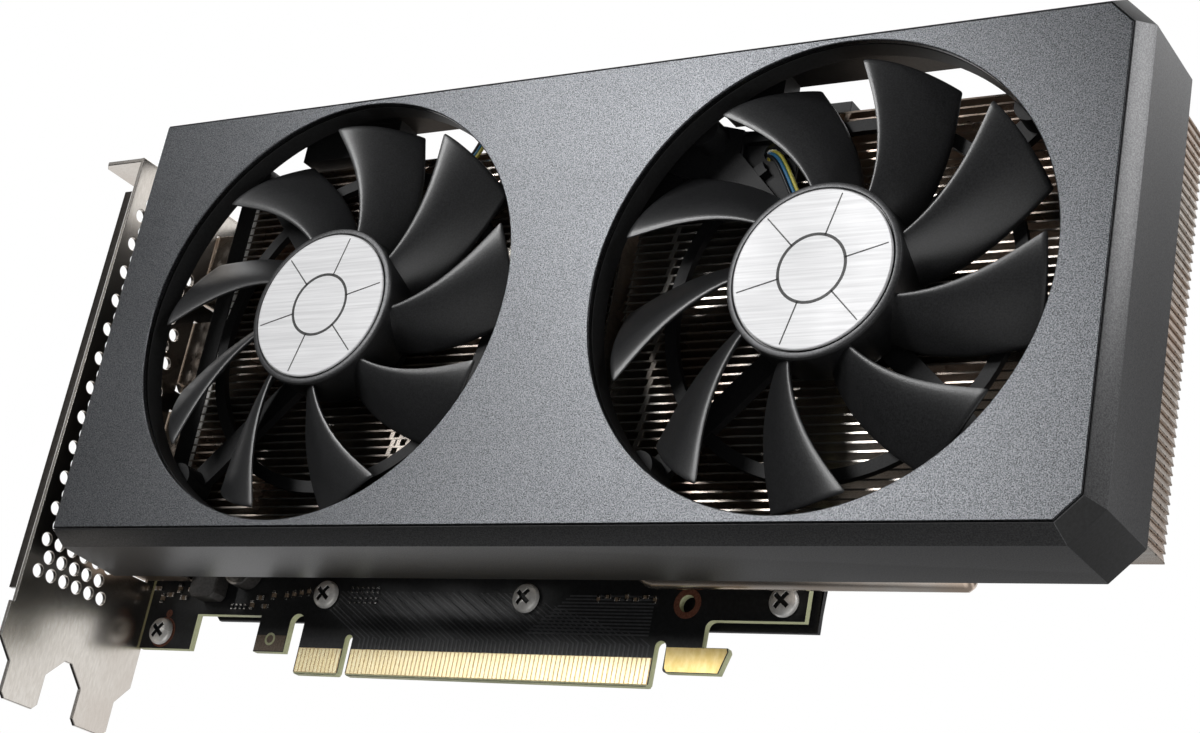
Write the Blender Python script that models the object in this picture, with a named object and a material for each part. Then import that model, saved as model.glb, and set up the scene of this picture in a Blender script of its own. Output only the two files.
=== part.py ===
"""Graphics card: a dual-slot, dual-fan expansion card built as separate named pieces.

Frame: +X runs along the card away from the I/O bracket, -Y is the fan side, +Z is up, with the
gold contacts down. The origin is the middle of the long contact tongue's bottom face.
"""
from math import cos, pi, radians, sin, sqrt

import bmesh
import bpy
from mathutils import Matrix, Vector

MM = 0.001

# Board
BOARD_T = 1.57 * MM
BOARD_FRONT = -BOARD_T / 2
BOARD_BACK = BOARD_T / 2
BOARD_LEFT = -93.6 * MM
BOARD_RIGHT = 66.2 * MM
BOARD_TOP = 105.0 * MM
KEY_NOTCH_X = -36.8 * MM
BOARD_SCREWS = [(-87.8 * MM, 8.0 * MM), (-44.8 * MM, 16.6 * MM), (5.1 * MM, 16.4 * MM),
                (61.7 * MM, 16.4 * MM)]
SPARE_HOLE = (41.2 * MM, 16.0 * MM)
SCREW_HOLE_R = 1.7 * MM

# Bracket
BRACKET_INNER_X = -93.9 * MM
BRACKET_T = 0.9 * MM
BRACKET_FRONT = -36.9 * MM
BRACKET_BACK = 0.2 * MM
TAIL_TOP = -8.4 * MM
TAIL_BOTTOM = -15.86 * MM
TAIL_W = 10.1 * MM
TAIL_FRONT = -33.8 * MM
SLOT_PITCH = 20.32 * MM
BRACKET_TOP = TAIL_BOTTOM + 120.02 * MM
TAB_LENGTH = 11.4 * MM
TAB_BACK = -4.0 * MM
LIP_LENGTH = 2.0 * MM
LIP_BOTTOM = 6.0 * MM
LIP_TOP = 96.0 * MM

# Display sockets
SOCKET_Z = [89.9 * MM, 68.6 * MM, 47.3 * MM]
HDMI_Z = 26.0 * MM
SOCKET_FRONT = -9.8 * MM
SOCKET_T = 6.4 * MM
SOCKET_W = 16.2 * MM
HDMI_W = 15.0 * MM
SOCKET_LENGTH = 15.0 * MM

# Shroud
FAN_X = [-31.1 * MM, 78.0 * MM]
FAN_Z = 64.1 * MM
OPENING_R = 44.75 * MM
PLATE_LEFT = -87.1 * MM
PLATE_RIGHT = 131.4 * MM
PLATE_BOTTOM = 18.0 * MM
PLATE_TOP = 109.9 * MM
PLATE_CHAMFER = 4.3 * MM
PLATE_FRONT = -38.8 * MM
PLATE_T = 1.2 * MM
BEVEL_OUT = 2.7 * MM
BEVEL_DEPTH = 4.0 * MM
WALL = 1.8 * MM
WALL_BACK = -16.3 * MM
TOP_WALL_BACK = -22.5 * MM
FRAME_LEFT_BACK = -90.4 * MM
COLLAR_OUT = 1.2 * MM
COLLAR_BACK = -33.0 * MM
RIB_X = [(-55.5 * MM, -31.0 * MM), (47.3 * MM, 60.0 * MM)]
RIB_FRONT = -28.4 * MM
RIB_BOTTOM = 103.5 * MM
GAP = 0.3 * MM

# Fans
BLADES = 9
HUB_R = 16.8 * MM
HUB_WALL = 1.5 * MM
DISC_R = 15.3 * MM
TIP_R = 42.0 * MM
ROTOR_FRONT = -38.5 * MM
ROTOR_WEB_FRONT = -38.0 * MM
ROTOR_WEB_BACK = -36.9 * MM
ROTOR_BACK = -28.6 * MM
LEADING_Y = -37.4 * MM
TRAILING_Y = -29.0 * MM
BLADE_T = 1.1 * MM
BLADE_WIDTH_DEG = 24.0
BLADE_SWEEP_DEG = 25.0
TIP_PHASE_DEG = [22.0, 6.6]
SHAFT_R = 1.0 * MM
SHAFT_CLEARANCE = 0.08 * MM
FAN_FRAME_FRONT = -27.9 * MM
FAN_FRAME_BACK = -25.9 * MM
ARM_W = 4.6 * MM
ARM_ANGLES = [43.0, 133.0, 226.0, 317.0]
BOSS_RADIUS = 46.4 * MM
BOSS_R = 3.2 * MM
GUARD_R = 34.0 * MM

# Fan cables: direction of each one from its fan's axis, and the place of its plug on the board
CABLE_R = 1.0 * MM
CABLE_ANGLES = {"left": 62.0, "right": 121.0}
PLUGS = {"left": (-8.0 * MM, 99.5 * MM), "right": (53.0 * MM, 95.6 * MM)}
PLUG_SIZE = 5.0 * MM
PLUG_FRONT = -5.8 * MM
CABLE_WEB = [(30 * MM, 98 * MM), (38 * MM, 92 * MM), (52.5 * MM, 85.8 * MM), (52.5 * MM, 99.7 * MM),
             (47.3 * MM, 101.2 * MM), (41.2 * MM, 104.4 * MM), (30 * MM, 104 * MM)]

# Heatsink
FIN_PITCH = 1.72 * MM
FIN_T = 0.4 * MM
FIN_BOTTOM = 23.5 * MM
FIN_COUNT = 47
FIN_FRONT = -24.8 * MM
FIN_BACK = -6.2 * MM
STACK_X = [(-69.0 * MM, 28.2 * MM), (31.2 * MM, 132.0 * MM)]
DEEP_LEFT = 72.0 * MM
DEEP_BACK = -2.0 * MM
PIPE_BEND = (20.2 * MM, 38.0 * MM)
CONNECTOR_NOTCH = (68.2 * MM, 92.0 * MM)
PIPE_R = 3.0 * MM
PIPE_Y = -9.2 * MM
PIPE_Z = [40.5 * MM, 53.5 * MM, 66.5 * MM, 79.5 * MM]
PIPE_LEFT = -66.0 * MM
PIPE_RIGHT = 124.0 * MM
LOW_PIPE_Z = 19.6 * MM
LOW_PIPE_Y = -7.4 * MM
LOW_PIPE_RIGHT = 101.0 * MM
CHANNEL = 6.7 * MM

# Processor and its neighbours
GPU_X = -28.0 * MM
GPU_Z = 60.0 * MM


def material(name, color, roughness, metallic):
    made = bpy.data.materials.get(name)
    if made is None:
        made = bpy.data.materials.new(name)
        made.use_nodes = True
        shader = made.node_tree.nodes["Principled BSDF"]
        shader.inputs["Base Color"].default_value = (*color, 1.0)
        shader.inputs["Roughness"].default_value = roughness
        shader.inputs["Metallic"].default_value = metallic
    return made


FINISH = {
    "board": ((0.012, 0.013, 0.014), 0.45, 0.0),
    "steel": ((0.55, 0.53, 0.50), 0.30, 1.0),
    "plate_grey": ((0.14, 0.145, 0.15), 0.60, 0.0),
    "frame_black": ((0.035, 0.035, 0.036), 0.55, 0.0),
    "fan_plastic": ((0.020, 0.020, 0.021), 0.50, 0.0),
    "hub_disc": ((0.75, 0.75, 0.76), 0.35, 1.0),
    "fin_metal": ((0.62, 0.58, 0.54), 0.28, 1.0),
    "pipe_nickel": ((0.66, 0.63, 0.60), 0.25, 1.0),
    "socket_metal": ((0.50, 0.48, 0.46), 0.30, 1.0),
    "black_plastic": ((0.018, 0.018, 0.018), 0.55, 0.0),
    "chip_black": ((0.025, 0.025, 0.027), 0.40, 0.0),
    "screw_steel": ((0.60, 0.60, 0.60), 0.25, 1.0),
    "copper": ((0.72, 0.38, 0.22), 0.35, 1.0),
    "magnet": ((0.10, 0.10, 0.10), 0.60, 0.0),
    "cable": ((0.02, 0.02, 0.02), 0.50, 0.0),
    "backplate_black": ((0.02, 0.02, 0.021), 0.50, 0.3),
}


def mesh_object(name, vertices, faces):
    mesh = bpy.data.meshes.new(name)
    mesh.from_pydata(vertices, [], faces)
    bm = bmesh.new()
    bm.from_mesh(mesh)
    bmesh.ops.recalc_face_normals(bm, faces=bm.faces)
    if bm.calc_volume(signed=True) < 0:
        bmesh.ops.reverse_faces(bm, faces=bm.faces)
    bm.to_mesh(mesh)
    bm.free()
    made = bpy.data.objects.new(name, mesh)
    bpy.context.collection.objects.link(made)
    return made


def loft(rings, name="solid"):
    """Closed solid through rings of equally many points, with flat end caps."""
    count = len(rings[0])
    vertices = [point for ring in rings for point in ring]
    faces = [list(range(count)), list(range(len(vertices) - count, len(vertices)))]
    for level in range(len(rings) - 1):
        base = level * count
        for i in range(count):
            j = (i + 1) % count
            faces.append([base + i, base + j, base + count + j, base + count + i])
    return mesh_object(name, vertices, faces)


def prism(outline, low, high, axis="Y"):
    """An outline extruded along one axis: (x, z) along Y, (y, z) along X, (x, y) along Z."""
    if axis == "Y":
        return loft([[(a, t, b) for a, b in outline] for t in (low, high)])
    if axis == "X":
        return loft([[(t, a, b) for a, b in outline] for t in (low, high)])
    return loft([[(a, b, t) for a, b in outline] for t in (low, high)])


def box(x0, x1, y0, y1, z0, z1):
    return prism([(x0, y0), (x1, y0), (x1, y1), (x0, y1)], z0, z1, "Z")


def circle(center, radius, sides, start=0.0):
    step = 2 * pi / sides
    return [(center[0] + radius * cos(start + i * step), center[1] + radius * sin(start + i * step))
            for i in range(sides)]


def arc(center, radius, start_deg, end_deg, steps):
    turn = radians(end_deg - start_deg) / steps
    first = radians(start_deg)
    return [(center[0] + radius * cos(first + i * turn), center[1] + radius * sin(first + i * turn))
            for i in range(steps + 1)]


def cylinder(x, z, radius, y0, y1, sides=24):
    return prism(circle((x, z), radius, sides), y0, y1)


def combine(target, tools, operation):
    """Apply exact Booleans of every tool to the target and remove the tools."""
    for tool in tools:
        modifier = target.modifiers.new("combine", "BOOLEAN")
        modifier.operation = operation
        modifier.object = tool
        modifier.solver = "EXACT"
    bpy.context.view_layer.update()
    evaluated = target.evaluated_get(bpy.context.evaluated_depsgraph_get())
    mesh = bpy.data.meshes.new_from_object(evaluated)
    target.modifiers.clear()
    target.data = mesh
    for tool in tools:
        bpy.data.objects.remove(tool, do_unlink=True)
    return target


def cut(target, *tools):
    return combine(target, tools, "DIFFERENCE")


def join(target, *tools):
    return combine(target, tools, "UNION")


def finish(solid, name, finish_name, origin=None, smooth_deg=None):
    """Name the solid, merge its flat faces, give it its material and put its origin in place."""
    solid.name = name
    solid.data.name = name
    bm = bmesh.new()
    bm.from_mesh(solid.data)
    bmesh.ops.remove_doubles(bm, verts=bm.verts, dist=1e-6)
    bmesh.ops.dissolve_limit(bm, angle_limit=radians(0.2), verts=bm.verts, edges=bm.edges)
    bm.to_mesh(solid.data)
    bm.free()
    solid.data.materials.clear()
    solid.data.materials.append(material(finish_name, *FINISH[finish_name]))
    if smooth_deg is not None:
        solid.data.shade_smooth()
        solid.data.set_sharp_from_angle(angle=radians(smooth_deg))
    if origin is not None:
        solid.data.transform(Matrix.Translation(-Vector(origin)))
        solid.location = origin
    return solid


# ---------------------------------------------------------------- board and bracket

def board_outline():
    """Lower edge from left to right with its notches, then the two upper corners."""
    notch_half = 0.95 * MM
    tongue_left = KEY_NOTCH_X - 12.6 * MM
    tongue_right = KEY_NOTCH_X + 72.6 * MM
    foot = 4.4 * MM
    edge = 12.1 * MM
    lead = 0.5 * MM
    slot_r = 1.9 * MM
    hook_left = tongue_right + 2.4 * MM
    points = [(BOARD_LEFT, foot), (-79.1 * MM, foot), (-79.1 * MM, edge), (-61.4 * MM, edge)]
    points += [(-61.4 * MM, foot), (tongue_left - 2 * slot_r, foot)]
    points += arc((tongue_left - slot_r, 10.7 * MM), slot_r, 180, 0, 6)
    points += [(tongue_left, lead), (tongue_left + lead, 0)]
    points += [(KEY_NOTCH_X - notch_half - lead, 0), (KEY_NOTCH_X - notch_half, lead)]
    points += arc((KEY_NOTCH_X, 7.5 * MM), notch_half, 180, 0, 4)
    points += [(KEY_NOTCH_X + notch_half, lead), (KEY_NOTCH_X + notch_half + lead, 0)]
    points += [(tongue_right - lead, 0), (tongue_right, lead)]
    points += arc((tongue_right + 1.2 * MM, 7.6 * MM), 1.2 * MM, 180, 0, 4)
    points += [(hook_left, 3.5 * MM)] + arc((hook_left + 0.8 * MM, 3.6 * MM), 0.8 * MM, 190, 270, 3)
    points += [(50.2 * MM, 2.8 * MM), (51.6 * MM, 7.0 * MM), (51.3 * MM, 7.7 * MM), (45.9 * MM, 7.7 * MM)]
    points += arc((47.4 * MM, 11.4 * MM), 1.5 * MM, 180, 90, 4)
    points += [(BOARD_RIGHT, 12.9 * MM), (BOARD_RIGHT, BOARD_TOP), (BOARD_LEFT, BOARD_TOP)]
    return points


def make_board():
    board = prism(board_outline(), BOARD_FRONT, BOARD_BACK)
    holes = BOARD_SCREWS + [SPARE_HOLE] + spring_screw_places()
    drills = [cylinder(x, z, SCREW_HOLE_R, -3 * MM, 3 * MM, 12) for x, z in holes]
    drills.append(cylinder(-57.5 * MM, 7.1 * MM, 0.8 * MM, -3 * MM, 3 * MM, 10))
    finish(cut(board, *drills), "pcb", "board")


def bracket_outline():
    """The flat plate seen along +X as (y, z): two tails, shoulders and a sloping top corner."""
    first = TAIL_FRONT
    second = TAIL_FRONT + SLOT_PITCH
    front = BRACKET_FRONT - 0.9 * MM
    lead = 1.2 * MM
    shoulder = -4.3 * MM
    points = [(BRACKET_FRONT, BRACKET_TOP), (BRACKET_FRONT, 3 * MM), (front, 3 * MM), (front, shoulder)]
    for tail in (first, second):
        points += [(tail, TAIL_TOP), (tail, TAIL_BOTTOM + lead), (tail + lead, TAIL_BOTTOM)]
        points += [(tail + TAIL_W - lead, TAIL_BOTTOM), (tail + TAIL_W, TAIL_BOTTOM + lead)]
        points += [(tail + TAIL_W, TAIL_TOP)]
        if tail == first:
            middle = first + TAIL_W + (SLOT_PITCH - TAIL_W) / 2
            points += [(middle - 1 * MM, shoulder), (middle + 1 * MM, shoulder)]
    points += [(BRACKET_BACK, shoulder), (BRACKET_BACK, 100.0 * MM), (TAB_BACK, BRACKET_TOP)]
    return points


def make_bracket():
    outer_x = BRACKET_INNER_X - BRACKET_T
    bracket = prism(bracket_outline(), outer_x, BRACKET_INNER_X, "X")
    overlap = 0.5 * MM
    lip = box(outer_x - LIP_LENGTH, BRACKET_INNER_X - overlap, BRACKET_FRONT, BRACKET_FRONT + BRACKET_T,
              LIP_BOTTOM, LIP_TOP)
    far = outer_x - TAB_LENGTH
    tab = prism([(BRACKET_INNER_X, BRACKET_FRONT), (BRACKET_INNER_X, TAB_BACK), (far, TAB_BACK),
                 (far, BRACKET_FRONT + 1.5 * MM), (far + 1.5 * MM, BRACKET_FRONT)],
                BRACKET_TOP - BRACKET_T, BRACKET_TOP, "Z")
    join(bracket, lip, tab)
    screw_slot_y = -20.5 * MM
    slot_r = 2.2 * MM
    slot = arc((outer_x - 6.5 * MM, screw_slot_y), slot_r, 90, -90, 6)
    slot += [(far - 1 * MM, screw_slot_y - slot_r), (far - 1 * MM, screw_slot_y + slot_r)]
    tools = [prism(slot, BRACKET_TOP - 3 * MM, BRACKET_TOP + 1 * MM, "Z")]
    margin = 0.35 * MM
    front, back = SOCKET_FRONT - margin, SOCKET_FRONT + SOCKET_T + margin
    for z, width in [(z, SOCKET_W) for z in SOCKET_Z] + [(HDMI_Z, HDMI_W)]:
        half = width / 2 + margin
        tools.append(box(outer_x - 1 * MM, BRACKET_INNER_X + 1 * MM, front, back, z - half, z + half))
    finish(cut(bracket, *tools), "io_bracket", "steel")


def socket_outline(center, width, lead):
    low = center - width / 2
    high = center + width / 2
    back = SOCKET_FRONT + SOCKET_T
    return [(SOCKET_FRONT, low + lead), (SOCKET_FRONT, high), (back, high), (back, low),
            (SOCKET_FRONT + lead, low)]


def make_socket(name, center, width, lead):
    """A folded metal shell open to the bracket side, and the contact tongue inside it."""
    shell_t = 0.5 * MM
    mouth = BRACKET_INNER_X - BRACKET_T
    outline = socket_outline(center, width, lead)
    shell = prism(outline, mouth, mouth + SOCKET_LENGTH, "X")
    inner = [(y + (shell_t if y < SOCKET_FRONT + SOCKET_T / 2 else -shell_t),
              z + (shell_t if z < center else -shell_t)) for y, z in outline]
    cut(shell, prism(inner, mouth - 1 * MM, mouth + SOCKET_LENGTH - 2 * MM, "X"))
    finish(shell, name + "_shell", "socket_metal")
    middle = SOCKET_FRONT + SOCKET_T / 2
    tongue = box(mouth + 1.5 * MM, mouth + SOCKET_LENGTH - 2 * MM - GAP,
                 middle - 0.6 * MM, middle + 0.6 * MM,
                 center - width / 2 + 2.4 * MM, center + width / 2 - 2.4 * MM)
    finish(tongue, name + "_tongue", "black_plastic")


def make_backplate():
    low = BOARD_BACK + 1.7 * MM
    high = low + 1.2 * MM
    left, right, bottom, top = -90.0 * MM, 67.4 * MM, 11.8 * MM, 106.0 * MM
    lead = 4.0 * MM
    plate = prism([(left, bottom + 8 * MM), (left + 6 * MM, bottom + 8 * MM), (left + 14 * MM, bottom),
                   (right, bottom), (right, top - lead), (right - lead, top), (left + lead, top),
                   (left, top - lead)], low, high)
    tools = [cylinder(x, z, SCREW_HOLE_R, low - 1 * MM, high + 1 * MM, 12) for x, z in spring_screw_places()]
    slot_w, slot_h, slant = 3.0 * MM, 40.0 * MM, 12.0 * MM
    for i in range(6):
        x = 22 * MM + i * 6.5 * MM
        tools.append(prism([(x, 40 * MM), (x + slot_w, 40 * MM), (x + slot_w + slant, 40 * MM + slot_h),
                            (x + slant, 40 * MM + slot_h)], low - 1 * MM, high + 1 * MM))
    finish(cut(plate, *tools), "backplate", "backplate_black")


# ---------------------------------------------------------------- electronics

def spring_screw_places():
    reach = 24.0 * MM
    return [(GPU_X + sx * reach, GPU_Z + sz * reach) for sx in (-1, 1) for sz in (-1, 1)]


def make_processor():
    face = BOARD_FRONT - GAP
    half, die = 17.5 * MM, 8.5 * MM
    package = box(GPU_X - half, GPU_X + half, face - 1.2 * MM, face, GPU_Z - half, GPU_Z + half)
    top = box(GPU_X - die, GPU_X + die, face - 2.4 * MM, face - 0.6 * MM, GPU_Z - die, GPU_Z + die)
    finish(join(package, top), "gpu_package", "chip_black")


def make_memory():
    face = BOARD_FRONT - GAP
    width, height, thick = 12.0 * MM, 14.0 * MM, 1.1 * MM
    places = [(GPU_X - 12 * MM, 94 * MM), (GPU_X + 8 * MM, 94 * MM), (8 * MM, 70 * MM), (8 * MM, 50 * MM)]
    for i, (x, z) in enumerate(places):
        chip = box(x - width / 2, x + width / 2, face - thick, face, z - height / 2, z + height / 2)
        finish(chip, f"memory_{i + 1}", "chip_black")


def make_chokes():
    face = BOARD_FRONT - GAP
    size, thick, lead = 7.2 * MM, 4.0 * MM, 1.2 * MM
    low, high = -size / 2, size / 2
    places = [(-75.8 * MM, 18.3 * MM), (-67.2 * MM, 21.0 * MM),
              (32.3 * MM, 86.0 * MM), (32.3 * MM, 70.0 * MM)]
    for i, (x, z) in enumerate(places):
        outline = [(x + low + lead, z + low), (x + high - lead, z + low), (x + high, z + low + lead),
                   (x + high, z + high - lead), (x + high - lead, z + high), (x + low + lead, z + high),
                   (x + low, z + high - lead), (x + low, z + low + lead)]
        finish(prism(outline, face - thick, face), f"choke_{i + 1}", "chip_black")


def make_power_connector():
    """2 by 4 socket block that opens upward at the board's top corner."""
    left, right = 47.6 * MM, 66.2 * MM
    front, back = BOARD_FRONT - 12.6 * MM, BOARD_FRONT - GAP - 1.6 * MM
    low, high = 99.5 * MM, 112.3 * MM
    body = box(left, right, front, back, low, high)
    pitch, half = 4.2 * MM, 1.55 * MM
    middle_x, middle_y = (left + right) / 2, (front + back) / 2
    tools = []
    for column in range(4):
        for row in range(2):
            x = middle_x + (column - 1.5) * pitch
            y = middle_y + (row - 0.5) * pitch
            tools.append(box(x - half, x + half, y - half, y + half, low + 3 * MM, high + 1 * MM))
    finish(cut(body, *tools), "power_connector", "black_plastic")


def screw(name, x, z, face, toward, head_r=2.9 * MM, head_t=1.7 * MM, shank_r=1.35 * MM, shank=3.4 * MM):
    """Pan-head screw: its head rests a gap off the face and its shank passes through the hole."""
    top = face + toward * (head_t + GAP)
    base = face + toward * GAP
    end = face - toward * shank
    head = cylinder(x, z, head_r, min(top, base), max(top, base), 16)
    root = base + toward * 0.5 * MM
    stem = cylinder(x, z, shank_r, min(end, root), max(end, root), 10)
    finish(join(head, stem), name, "screw_steel", origin=(x, face, z), smooth_deg=40)


def make_screws():
    for i, (x, z) in enumerate(BOARD_SCREWS):
        screw(f"board_screw_{i + 1}", x, z, BOARD_FRONT, -1, shank=2.8 * MM)
    back = BOARD_BACK + 1.7 * MM + 1.2 * MM
    for i, (x, z) in enumerate(spring_screw_places()):
        screw(f"spring_screw_{i + 1}", x, z, back, 1, shank=6.2 * MM)


# ---------------------------------------------------------------- heatsink

def low_pipe_route():
    """Straight through the left stack, down through the gap between stacks, then under the right one."""
    start_x, end_x = PIPE_BEND
    start_z = PIPE_Z[0]
    steps = 10
    points = [(PIPE_LEFT, PIPE_Y, start_z)]
    for i in range(steps + 1):
        share = i / steps
        ease = share * share * (3 - 2 * share)
        points.append((start_x + (end_x - start_x) * share, PIPE_Y + (LOW_PIPE_Y - PIPE_Y) * ease,
                       start_z + (LOW_PIPE_Z - start_z) * ease))
    points.append((LOW_PIPE_RIGHT, LOW_PIPE_Y, LOW_PIPE_Z))
    return points


def swept(points, radius, sides):
    """A round bar along points, its rings square to the path."""
    rings = []
    for i, point in enumerate(points):
        before = Vector(points[max(i - 1, 0)])
        after = Vector(points[min(i + 1, len(points) - 1)])
        tangent = (after - before).normalized()
        side = tangent.cross(Vector((0, 1, 0))).normalized()
        up = side.cross(tangent)
        rings.append([tuple(Vector(point) + side * (radius * cos(2 * pi * k / sides))
                            + up * (radius * sin(2 * pi * k / sides))) for k in range(sides)])
    return loft(rings)


def make_heat_pipes():
    finish(swept(low_pipe_route(), PIPE_R, 10), "heat_pipe_1", "pipe_nickel", smooth_deg=50)
    for i, z in enumerate(PIPE_Z[1:]):
        bar = swept([(PIPE_LEFT, PIPE_Y, z), (PIPE_RIGHT, PIPE_Y, z)], PIPE_R, 10)
        finish(bar, f"heat_pipe_{i + 2}", "pipe_nickel", smooth_deg=50)


def make_fin_stacks():
    """Fins with end plates: a block with a through gap between every two fins and pipe channels."""
    top = FIN_BOTTOM + (FIN_COUNT - 1) * FIN_PITCH + FIN_T
    end_plate = 0.6 * MM
    back_of_channel = PIPE_Y - PIPE_R - GAP
    for name, (left, right) in zip(("fin_stack_left", "fin_stack_right"), STACK_X):
        block = box(left, right, FIN_FRONT, FIN_BACK, FIN_BOTTOM, top)
        tools = []
        notch_x, notch_z = CONNECTOR_NOTCH
        has_notch = left > 0
        for i in range(FIN_COUNT - 1):
            z0 = FIN_BOTTOM + i * FIN_PITCH + FIN_T
            z1 = FIN_BOTTOM + (i + 1) * FIN_PITCH
            start = left + end_plate
            if has_notch and z1 > notch_z - 0.5 * MM:
                start = notch_x + end_plate
            tools.append(box(start, right - end_plate, FIN_FRONT - 1 * MM, DEEP_BACK + 1 * MM, z0, z1))
        if has_notch:
            join(block, box(DEEP_LEFT, right, FIN_BACK - 1 * MM, DEEP_BACK, FIN_BOTTOM, top))
            tools.append(box(left - 1 * MM, notch_x, FIN_FRONT - 1 * MM, FIN_BACK + 1 * MM,
                             notch_z, top + 1 * MM))
        first_pipe = 1 if has_notch else 0
        for z in PIPE_Z[first_pipe:]:
            tools.append(box(left - 1 * MM, right + 1 * MM, back_of_channel, FIN_BACK + GAP,
                             z - CHANNEL / 2, z + CHANNEL / 2))
        if has_notch:
            tools.append(box(left - 1 * MM, PIPE_BEND[1] + 0.5 * MM, back_of_channel, FIN_BACK + 1 * MM,
                             FIN_BOTTOM - 1 * MM, top + 1 * MM))
        else:
            tools.append(box(PIPE_BEND[0] - 3 * MM, right + 1 * MM, back_of_channel, FIN_BACK + 1 * MM,
                             FIN_BOTTOM - 1 * MM, PIPE_Z[0] + CHANNEL / 2))
        finish(cut(block, *tools), name, "fin_metal")


def make_cold_plate():
    front = PIPE_Y + PIPE_R + GAP
    plate = box(GPU_X - 20 * MM, GPU_X + 20 * MM, front, front + 1.7 * MM, 36 * MM, 84 * MM)
    finish(plate, "cold_plate", "copper")


def make_cooler_frame():
    """Black folded sheet that carries the heatsink beside its bracket-side end plate."""
    right = STACK_X[0][0] - GAP
    left = right - 4.4 * MM
    thick = 1.0 * MM
    top = 102.0 * MM
    face = box(left, right, FIN_FRONT, FIN_FRONT + thick, 20 * MM, top)
    web = box(right - thick, right, FIN_FRONT + 0.5 * MM, -6.5 * MM, 20 * MM, top)
    finish(join(face, web), "cooler_frame", "frame_black")


# ---------------------------------------------------------------- shroud

def shroud_outline(outset, left):
    """Rectangle with two chamfered corners at the right end, grown outward by outset."""
    right, bottom, top = PLATE_RIGHT + outset, PLATE_BOTTOM - outset, PLATE_TOP + outset
    lead = PLATE_CHAMFER + outset * (2 - sqrt(2))
    return [(left, bottom), (right - lead, bottom), (right, bottom + lead), (right, top - lead),
            (right - lead, top), (left, top)]


def make_front_plate():
    plate = prism(shroud_outline(0, PLATE_LEFT), PLATE_FRONT, PLATE_FRONT + PLATE_T)
    tools = [cylinder(x, FAN_Z, OPENING_R, PLATE_FRONT - 1 * MM, PLATE_FRONT + 3 * MM, 56) for x in FAN_X]
    finish(cut(plate, *tools), "front_plate", "plate_grey")


def ring_at(outset, left, y):
    return [(x, y, z) for x, z in shroud_outline(outset, left)]


def make_shroud_frame():
    seam = 0.3 * MM
    rim_front = PLATE_FRONT + 0.3 * MM
    bevel_back = PLATE_FRONT + BEVEL_DEPTH
    web_front = PLATE_FRONT + PLATE_T + GAP
    web_back = web_front + 1.6 * MM
    outer = loft([ring_at(seam + 0.1 * MM, PLATE_LEFT, rim_front),
                  ring_at(BEVEL_OUT, PLATE_LEFT, bevel_back),
                  ring_at(BEVEL_OUT, FRAME_LEFT_BACK, WALL_BACK)])
    inset = BEVEL_OUT - WALL
    far = 10 * MM
    room = loft([ring_at(inset, PLATE_LEFT + WALL, web_back),
                 ring_at(inset, PLATE_LEFT + WALL, web_back + 5 * MM)])
    open_end = loft([ring_at(inset, PLATE_LEFT - far, web_back + 4 * MM),
                     ring_at(inset, PLATE_LEFT - far, WALL_BACK + far)])
    recess = prism(shroud_outline(seam, PLATE_LEFT - far), PLATE_FRONT - 1 * MM, web_front)
    top_cut = box(PLATE_LEFT - far, PLATE_RIGHT - PLATE_CHAMFER, TOP_WALL_BACK, 0,
                  PLATE_TOP - 2 * MM, PLATE_TOP + far)
    cut(outer, room, open_end, recess, top_cut)
    collars = [cylinder(x, FAN_Z, OPENING_R + COLLAR_OUT, web_back - 0.5 * MM, COLLAR_BACK, 56)
               for x in FAN_X]
    posts = [cylinder(x, z, 2.6 * MM, web_back - 0.5 * MM, FIN_FRONT - 0.4 * MM, 12)
             for x, z in shroud_post_places()]
    ribs = [box(left, right, RIB_FRONT, TOP_WALL_BACK - 0.3 * MM, RIB_BOTTOM, PLATE_TOP + BEVEL_OUT - 1 * MM)
            for left, right in RIB_X]
    join(outer, *ribs, *collars, *posts)
    bores = [cylinder(x, FAN_Z, OPENING_R, PLATE_FRONT - 1 * MM, COLLAR_BACK + 1 * MM, 56) for x in FAN_X]
    finish(cut(outer, *bores), "shroud_frame", "frame_black")


def shroud_post_places():
    middle = (FAN_X[0] + FAN_X[1]) / 2
    return [(middle, 25 * MM), (middle, 103 * MM), (126 * MM, 27 * MM), (126 * MM, 101 * MM)]


# ---------------------------------------------------------------- fans

def ring(x, inner, outer, y0, y1, sides):
    """A plain ring round a fan's axis."""
    bore = cylinder(x, FAN_Z, inner, y0 - 1 * MM, y1 + 1 * MM, sides)
    return cut(cylinder(x, FAN_Z, outer, y0, y1, sides), bore)


def fan_arm(x, angle_deg, front, back):
    angle = radians(angle_deg)
    along, across = (cos(angle), sin(angle)), (-sin(angle), cos(angle))
    outline = []
    for reach, side in ((12, -0.5), (BOSS_RADIUS / MM, -0.5), (BOSS_RADIUS / MM, 0.5), (12, 0.5)):
        a, b = reach * MM, side * ARM_W
        outline.append((x + along[0] * a + across[0] * b, FAN_Z + along[1] * a + across[1] * b))
    return prism(outline, front, back)


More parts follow.
